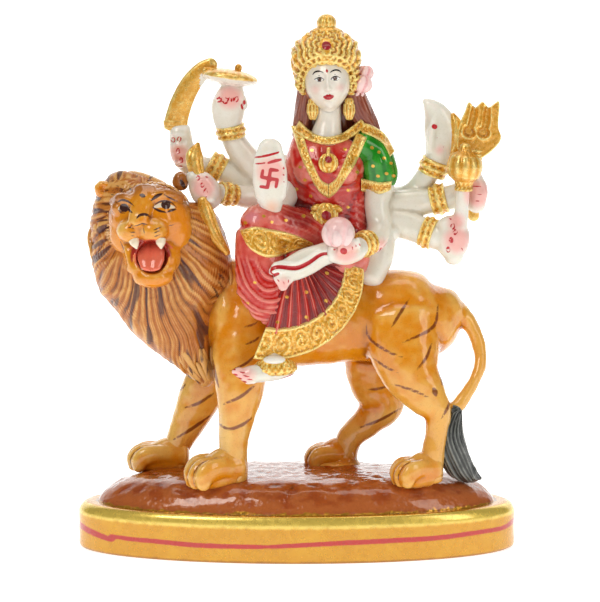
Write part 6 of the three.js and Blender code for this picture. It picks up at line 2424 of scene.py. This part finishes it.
        disc = ball(
            [-14.5, 2.3, 86.0], [6.1, 6.0, 1.9], roll=8, tilt=-4, around=110, down=34,
            relief=lambda h, a: 0.06 * np.cos(24 * a) * np.exp(-(((h - 0.32) / 0.12) ** 2)),
        )
        mace = loft(
            self.mace, sides=84, rows=10, tips=(0.8, 0.3),
            relief=lambda s, a: 0.34 * np.abs(np.cos(6 * a)) ** 0.7 * np.sin(math.pi * np.clip(s, 0, 1)),
        )
        forms = [
            loft(
                self.sword, sides=40, rows=8, tips=(0.3, 0.9),
                relief=lambda s, a: 0.12 * np.exp(-(((np.cos(a) + 0.8) / 0.12) ** 2)),
            ),
            loft([[-26.5, 4.3, 75.6, 2.5, 1.15], [-26.5, 4.3, 76.4, 2.5, 1.15]], sides=40, tips=(0.2, 0.2)),
            loft(self.bow_leaf, sides=48, rows=12, tips=(0.6, 0.6), relief=ridged),
            loft(self.bow_end, sides=48, rows=12, tips=(0.6, 0.6), relief=ridged),
            disc, loft([[-20.0, 2.4, 87.5, 0.9, 0.7], [-17.4, 2.2, 87.3, 0.9, 0.7]], tips=(0.5, 0.5)),
            ball([-12.6, 2.3, 88.1], [0.8, 0.8, 0.9]),
            mace, self.cuff((36.1, -3.3, 62.0), (36.2, -3.3, 64.2), 2.0, 2.0, 2), self.trident(),
            loft(
                [[38.9, 1.2, 70.2, 1.7, 1.4], [38.8, 1.2, 67.4, 1.4, 1.3]], sides=30, rows=20,
                tips=(0.3, 0.3), relief=lambda s, a: 0.15 * np.cos(20 * s),
            ),
            loft([[38.6, 1.2, 58.4, 1.3, 1.3], [38.6, 1.2, 55.8, 1.2, 1.2]], tips=(0.3, 0.8)),
            loft(self.side_prong, sides=40, rows=10, tips=(0.6, 0.8), relief=ridged),
        ]
        piece = Piece("gold_weapons", gathered(forms))
        seen = as_seen(piece.points)
        shares = to_shares(piece.points)
        grooves = painted(seen, (
            Stroke(((474.8, 108), (472.6, 120), (469.4, 130)), 5.6, 0.2),
            Stroke(((487.5, 109), (486.4, 121), (484, 131)), 5.6, 0.2),
            *dots((469, 132), (483.4, 132.6), width=10.0),
        ))
        lip = 0.35 * np.exp(-(((grooves - 0.7) / 0.4) ** 2))
        flat = (piece.normals[:, 1] < -0.6) & (shares[:, 0] > 33)
        pressed = np.where(flat, 1.1 * smooth_step(0.6, -0.7, grooves) - lip, 0)
        hammered = 0.06 * lumps(piece.points, 0.0009, 71) + 0.05 * lumps(piece.points, 0.0022, 72)
        piece.swell(hammered - pressed)
        piece.paint_depth_shading(5)
        round_disc = np.hypot(shares[:, 0] + 14.5, shares[:, 1] - 2.3) < 6.6
        below = (shares[:, 2] - (86.1 - 0.14 * (shares[:, 0] + 14.5))) * SHARE / MILLIMETRE
        piece.write("milk", np.where(round_disc & (np.abs(shares[:, 2] - 86.2) < 3.2), below, FAR))
        return piece.dress(Paint.BLADE)

    def sleeve(self) -> Piece:
        """Make the green sleeve on her left upper arm.

        Returns:
            The piece.
        """
        def pleated(share: Array, angle: Array) -> Array:
            """Raise ten pleats below the shoulder, over a slow ripple."""
            pleats = 0.16 * np.abs(np.sin(5 * angle)) ** 0.6 * smooth_step(0.2, 0.5, share)
            return pleats + 0.06 * np.sin(14 * share + angle)

        form = loft(self.sleeve_path, sides=80, rows=16, tips=(0.5, 0.2), relief=pleated)
        piece = Piece("green_sleeve", form)
        seen = as_seen(piece.points)
        marks = dots(
            (372, 147.5), (373, 166), (384, 158), (386.6, 173.5), (393.6, 175.7), (379, 152), (391, 163),
            (378, 176),
        )
        piece.write("gilt", np.where(piece.normals[:, 1] < 0.2, painted(seen, marks), FAR))
        piece.paint_depth_shading(12)
        self.fronts.append(piece)
        return piece.dress(Paint.SLEEVE)

    def flowers(self) -> Piece:
        """Make the lotus bud in her hand and the flower in her hair.

        Returns:
            The piece.
        """
        def furled(count: float, wind: float, height: float) -> Relief:
            """Round petals that wind up a ball, twice the count of them."""
            return lambda h, a: height * np.abs(np.cos(count * a + wind * h)) ** 0.6 * np.sin(math.pi * h)

        forms = [ball([8.9, -14.2, 54.2], [3.3, 2.9, 3.3], around=76, down=42, relief=furled(2.5, 3, 0.14))]
        for turn in 0.4 + np.arange(6) * math.pi / 3:
            across, deep = math.cos(turn), math.sin(turn)
            middle = [8.9 + 2.2 * across, -14.3 + 1.7 * deep, 53.6]
            forms.append(ball(middle, [1.5, 1.4, 2.3], around=26, down=18, roll=14 * across))
        for middle, size in (([14.2, -0.2, 84.8], 1.9), ([14.9, 1.0, 87.2], 1.5), ([13.2, 0.6, 82.6], 1.2)):
            forms.append(
                ball(middle, [size, size * 0.8, size], around=44, down=28, relief=furled(3, 4, 0.42))
            )
        piece = Piece("lotus_and_flower", gathered(forms))
        piece.paint_depth_shading(8)
        return piece.dress(Paint.PINK)

    def hair(self) -> Piece:
        """Make the hair: a cap, a length over each shoulder and the fall down her back.

        Returns:
            The piece.
        """
        def strands(share: Array, angle: Array) -> Array:
            """Wave fine strands over broad ones."""
            fine = 0.16 * np.abs(np.sin(11 * angle + 3 * np.sin(4 * share))) ** 0.7
            return fine + 0.12 * np.sin(5 * angle + 7 * share)

        forms = [
            ball(
                [6.4, 1.4, 85.0], [5.7, 4.9, 5.8], around=96, down=32,
                relief=lambda h, a: 0.12 * np.abs(np.sin(22 * a)),
            ),
            loft(self.hair_right, sides=76, rows=12, tips=(0.4, 0.7), relief=strands),
            loft(self.hair_left, sides=76, rows=12, tips=(0.4, 0.7), relief=strands),
            loft(
                self.hair_fall, sides=110, rows=8, tips=(0.3, 0.8),
                relief=lambda s, a: 0.22 * np.abs(np.sin(13 * a + 1.5 * np.sin(6 * s))) ** 0.7,
            ),
        ]
        piece = Piece("hair", gathered(forms))
        piece.paint_depth_shading(8)
        return piece.dress(Paint.HAIR)

    def face(self) -> Piece:
        """Make head and neck, carved by smooth bumps on an egg shape, and paint the features.

        Places on the face are millimetres to the viewer's right of its middle and above it. Each
        feature is a bump whose height falls off as a bell curve in both directions.

        Returns:
            The piece.
        """
        middle = np.array([6.7, -1.0, 85.1])
        cosine, sine = math.cos(math.radians(4)), math.sin(math.radians(4))
        tilt = np.array([[cosine, 0, sine], [0, 1, 0], [-sine, 0, cosine]])
        height = np.linspace(0, math.pi, 121)[1:-1, None]
        turn = np.linspace(-math.pi, math.pi, 168, endpoint=False)[None]
        angle = -math.pi / 2 + turn - 0.5 * np.sin(turn)
        radii = np.array([4.9, 5.0, 6.5])
        shell = radii * np.stack([
            np.sin(height) * np.cos(angle), np.sin(height) * np.sin(angle), np.cos(height) + 0 * angle,
        ], -1)
        shell[..., 2] *= np.where(shell[..., 2] > 0, 1.09, 1)
        # The jaw narrows towards the chin
        narrow = 1 - 0.28 * smooth_step(0, -6.5, shell[..., 2]) ** 1.6
        shell[..., 0] *= narrow
        x, z = shell[..., 0] * SHARE / MILLIMETRE, shell[..., 2] * SHARE / MILLIMETRE
        front = smooth_step(0.3, -0.4, shell[..., 1] / 5)
        carved = np.zeros(x.shape)
        for tall, aside, up, wide, high in self.face_bumps:
            for place in sorted({-aside, aside}):
                carved += tall * np.exp(-(((x - place) / wide) ** 2) - ((z - up) / high) ** 2) * front
        outward = unit(shell)
        shell = shell + outward * (carved[..., None] * MILLIMETRE / SHARE)
        points = to_metres(middle + shell @ tilt)
        poles = to_metres(middle + np.array([[0, 0, 6.5 * 1.09], [0, 0, -6.5]]) @ tilt)
        head = tube(points, *poles)
        neck = loft(self.neck, sides=60, rows=10, tips=(0.3, 0.3))
        ears = [ball([6.7 + side * 4.8, 0.2, 84.6], [0.7, 1.2, 1.6]) for side in (-1, 1)]
        piece = Piece("face_and_neck", gathered([head, neck, *ears]))
        local = (to_shares(piece.points) - middle) @ tilt.T * SHARE / MILLIMETRE
        x, z = local[:, 0], local[:, 2]
        flat = np.stack([x, z], -1)
        front = (piece.normals[:, 1] < 0.15) & (local[:, 2] > -10.6) & (local[:, 1] < 0)

        def drawn(*paths: tuple[Sequence[Sequence[float]], float, float]) -> Array:
            """Distance from brush lines on both halves of the face.

            Args:
                paths: For each line, its points on the viewer's right, its width and its taper.

            Returns:
                Distances in millimetres.
            """
            both = []
            for path, width, taper in paths:
                for side in (-1, 1):
                    both.append(stroke_distance(flat, [[side * a, b] for a, b in path], width, taper))
            return np.where(front, np.minimum.reduce(both), FAR)

        almond_top = 1.85 + 0.82 * (1 - ((np.abs(x) - 2.95) / 1.75) ** 2)
        almond_bottom = 1.85 - 0.62 * (1 - ((np.abs(x) - 2.9) / 1.75) ** 2)
        almond = np.maximum.reduce([z - almond_top, almond_bottom - z, np.abs(np.abs(x) - 2.95) - 1.75])
        almond = np.where(front, almond, FAR)
        iris = np.maximum(np.hypot(np.abs(x) - 2.9, z - 1.98) - 0.76, almond + 0.04)
        piece.write("eye", almond)
        piece.write("iris", np.where(front, iris, FAR))
        piece.write("glint", np.where(front, np.hypot(x - np.sign(x) * 2.9 + 0.26, z - 2.26) - 0.17, FAR))
        piece.write("lid", drawn(
            (((1.15, 1.72), (1.95, 2.42), (2.95, 2.74), (3.95, 2.42), (5.0, 1.98)), 0.42, 0.5),
            (((1.25, 1.68), (2.15, 1.34), (2.95, 1.18), (3.8, 1.36), (4.6, 1.8)), 0.22, 0.5),
            (((1.8, 3.1), (2.95, 3.44), (4.2, 3.06)), 0.16, 0.6),
            (((1.0, 4.15), (2.1, 4.8), (3.4, 5.0), (4.6, 4.6), (5.3, 3.7)), 0.58, 0.7),
        ))
        upper = np.maximum(
            z + 3.86 + 0.1 * x**2 - 0.3 * np.exp(-((np.abs(x) - 0.5) / 0.35) ** 2),
            -4.82 + 0.045 * x**2 - z,
        )
        lower = np.maximum(z + 4.8 - 0.02 * x**2, -5.75 + 0.24 * x**2 - z)
        lips = np.maximum(np.minimum(upper, lower), np.abs(x) - 1.95)
        piece.write("lip", np.where(front, lips, FAR))
        piece.write("bindi", np.where(front, np.hypot(x, (z - 4.9) / 1.25) - 0.48, FAR))
        piece.write("cheek", np.hypot((np.abs(x) - 4.6) / 1.2, z + 1.6) - 1.2)
        piece.paint_depth_shading(10)
        self.fronts.append(piece)
        return piece.dress(Paint.FACE)

    def crown(self) -> Piece:
        """Make the tall crown: a dome chased with fans of feathers round a gem, band, knob and drops.

        The fans are rings round the gem whose radius swings with the angle, drawn on the dome as
        the viewer sees it and raised by the cosine of their phase.

        Returns:
            The piece.
        """
        def dome(share: Array, angle: Array) -> Array:
            """Cover the back with rows of leaves, and leave the front smooth for the fans."""
            leaves = (
                np.abs(np.cos(11 * angle + 2 * np.round(7 * share))) ** 0.7
                * np.abs(np.sin(7 * math.pi * share))
            )
            return 0.3 * leaves * smooth_step(0.7, 0.1, np.sin(angle)) - 0.1

        forms = [
            loft(self.crown_dome, sides=180, rows=16, tips=(0.2, 0.4), relief=dome),
            ball(
                [6.5, 0.6, 97.9], [2.05, 2.0, 1.95], around=70, down=34,
                relief=lambda h, a: 0.1 * np.abs(np.sin(8 * a)) * np.sin(math.pi * h),
            ),
            ball([6.5, -5.9, 92.3], [1.25, 0.9, 1.35]),
        ]
        for side in (-1, 1):
            forms.append(loft(
                [
                    [6.6 + side * 5.6, -0.4, 88.4, 1.3, 1.3], [6.6 + side * 5.7, -0.8, 85.6, 1.3, 1.3],
                    [6.6 + side * 5.1, -0.8, 83, 0.8, 0.8],
                ],
                sides=48, rows=16, tips=(0.5, 0.8),
                relief=lambda s, a: 0.2 * scrolls(s * 4, 0.5 + 0.48 * np.cos(a)),
            ))
        for drop in (3.5, 11.4):
            forms.append(
                ball([drop, -1.4, 81.0], [0.95, 1.1, 0.95], around=36, down=22, relief=petals(9, 0.12))
            )
            forms.append(loft(
                [[drop, -1.6, 80.4, 1.1, 1.0], [drop, -1.6, 79.0, 1.2, 1.1], [drop, -1.5, 77.6, 0.7, 0.7]],
                sides=40, rows=12, tips=(0.5, 0.7), relief=lambda s, a: 0.14 * np.cos(9 * a),
            ))
        piece = Piece("crown", gathered(forms))
        seen, shares = as_seen(piece.points), to_shares(piece.points)
        chased = ((piece.normals[:, 1] < 0.1) & (shares[:, 2] > 83) & (shares[:, 2] < 96.4)).astype(float)
        across, down = seen[:, 0] - 326.5, seen[:, 1] - 45.5
        out, round_gem = np.hypot(across, down), np.arctan2(across, -down)
        fans = np.cos(2 * math.pi * (out - 2.6 * np.abs(np.cos(4.5 * round_gem))) / 5.6)
        quills = np.cos(27 * round_gem + 0.35 * out)
        chased = chased * smooth_step(6.5, 8.5, out)
        brow = painted(seen, (
            Stroke((
                (303, 90), (304.6, 78), (310, 68), (318, 62.5), (327, 61), (336, 62.5), (344, 68),
                (349.5, 78), (351, 88),
            ), 2.4, 0.0),
            Stroke((
                (298, 86), (300, 74), (306, 63), (316, 56.5), (327, 55), (338, 56.5), (348, 63), (354, 74),
                (355.5, 84),
            ), 2.4, 0.0),
        ))
        band = smooth_step(0.35, -0.25, brow)
        height = (
            chased * ((0.36 * fans + 0.09 * quills) * (1 - band) + 0.4 * band)
            + 0.05 * lumps(piece.points, 0.0008, 81)
        )
        piece.swell(height)
        piece.paint_depth_shading(6)
        gem = painted(seen, dots((326.5, 45.5), width=8.6))
        piece.write("ruby", np.where(piece.normals[:, 1] < 0, gem, FAR))
        return piece.dress(Paint.GOLD)

    def build(self) -> list[Piece]:
        """Make her pieces: robe, sleeve and face come before the gold that is laid on them.

        Returns:
            The pieces.
        """
        return [
            self.robe(), self.skirt(), self.border(), self.sleeve(), self.skin(), self.right_arms(),
            self.left_arms(), self.face(), self.ornaments(), self.weapons(), self.flowers(), self.hair(),
            self.crown(),
        ]


# The photographer's table


@dataclass(frozen=True)
class SoftBox:
    """A rectangular soft light: its place and size in metres, and its power in watts."""

    name: str
    place: tuple[float, float, float]
    size: tuple[float, float]
    power: float

    def hang(self, colour: tuple[float, float, float]) -> None:
        """Hang the light so that it faces the figure's middle.

        Args:
            colour: Its linear colour.
        """
        lamp = bpy.data.lights.new(self.name, "AREA")
        lamp.shape = "RECTANGLE"
        lamp.size, lamp.size_y = self.size
        lamp.energy = self.power
        lamp.color = colour
        holder = bpy.data.objects.new(self.name, lamp)
        bpy.context.scene.collection.objects.link(holder)
        holder.location = self.place
        aim = np.array([0, 0, 0.1]) - np.array(self.place)
        rise = math.atan2(aim[2], math.hypot(aim[0], aim[1]))
        holder.rotation_euler = (math.pi / 2 + rise, 0, math.atan2(-aim[0], aim[1]))


@dataclass(frozen=True)
class Studio:
    """White sweep, soft lights and the camera at the photo's angle."""

    warm: tuple[float, float, float] = (1.0, 0.94, 0.86)
    half_width: float = 2.6  # of the paper, in metres
    behind: float = 0.9  # where the paper starts to bend up
    bend: float = 0.7  # its radius
    paper: float = 0.006  # its thickness
    sensor: float = 36.0  # millimetres, over the longer side of the picture
    longer_side: int = 602  # of the picture, in steps
    world_strength: float = 0.1
    boxes: tuple[SoftBox, ...] = (
        SoftBox("key_box", (-0.55, -0.85, 0.95), (0.5, 0.5), 5.5),
        SoftBox("fill_box", (0.85, -0.7, 0.55), (0.35, 0.8), 2.6),
        SoftBox("top_box", (0.0, 0.05, 1.2), (0.9, 0.6), 4.1),
        SoftBox("back_box", (0.1, 1.0, 0.9), (1.6, 0.7), 2.2),
    )

    def sweep(self) -> None:
        """Make the white paper sweep: a floor that curves up into the background."""
        turn = np.linspace(0, math.pi / 2, 24)
        y = np.concatenate(
            [[-2.2, self.behind], self.behind + self.bend * np.sin(turn), [self.behind + self.bend]]
        )
        z = np.concatenate([[0, 0], self.bend * (1 - np.cos(turn)), [2.6]])
        x = np.linspace(-self.half_width, self.half_width, 9)
        grid = np.stack([x[:, None] + 0 * y, y + 0 * x[:, None], z + 0 * x[:, None]], -1)
        form = slab(grid - [0, 0, 0.0002], grid - [0, -0.004, self.paper])
        sheet = Piece("sweep", form).object
        material = bpy.data.materials.new("white_paper")
        material.use_nodes = True
        tree = material.node_tree
        tree.nodes.clear()
        # Paper: matt white, with the faintest fibre so that it isn't a flat field
        place = add(tree, "TexCoord").outputs["Object"]
        fibre = add(tree, "TexNoise", {"Vector": place, "Scale": 900.0, "Detail": 3.0}).outputs[0]
        white = add(
            tree, "Mix", {0: fibre, 6: linear("#fbfbfa"), 7: linear("#ffffff")}, data_type="RGBA",
        ).outputs[2]
        shader = add(tree, "BsdfPrincipled", {
            "Base Color": white, "Roughness": 0.6, "Emission Color": white, "Emission Strength": 0.8,
        })
        add(tree, "OutputMaterial", {"Surface": shader.outputs[0]})
        sheet.data.materials.append(material)

    def camera(self) -> None:
        """Set the camera at the viewer's eye."""
        data = bpy.data.cameras.new("camera")
        data.sensor_width = self.sensor
        data.lens = FOCAL_STEPS * self.sensor / self.longer_side
        data.clip_start, data.clip_end = 0.05, 20
        holder = bpy.data.objects.new("camera", data)
        bpy.context.scene.collection.objects.link(holder)
        holder.location = EYE
        holder.rotation_euler = (math.pi / 2 - VIEW_TILT, 0, 0)
        bpy.context.scene.camera = holder

    def build(self) -> None:
        """Set up the table."""
        self.sweep()
        self.camera()
        for box in self.boxes:
            box.hang(self.warm)
        world = bpy.data.worlds.new("white_room")
        world.use_nodes = True
        bpy.context.scene.world = world
        ground = world.node_tree.nodes["Background"]
        ground.inputs["Color"].default_value = (1, 1, 1, 1)
        ground.inputs["Strength"].default_value = self.world_strength
        bpy.context.scene.view_settings.view_transform = "Standard"


def main() -> None:
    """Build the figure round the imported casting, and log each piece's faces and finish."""
    logging.basicConfig(level=logging.INFO, format="%(message)s")
    for leftover in list(bpy.data.objects):
        bpy.data.objects.remove(leftover)
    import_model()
    for maker in (Plinth(), Lion(), Goddess()):
        for piece in maker.build():
            mesh = piece.object.data
            faces, finish = len(mesh.polygons), mesh.materials[0].name
            log.info("%s: %s built with %d faces, in %s", type(maker).__name__, piece.name, faces, finish)
    Studio().build()


if __name__ == "__main__":
    main()
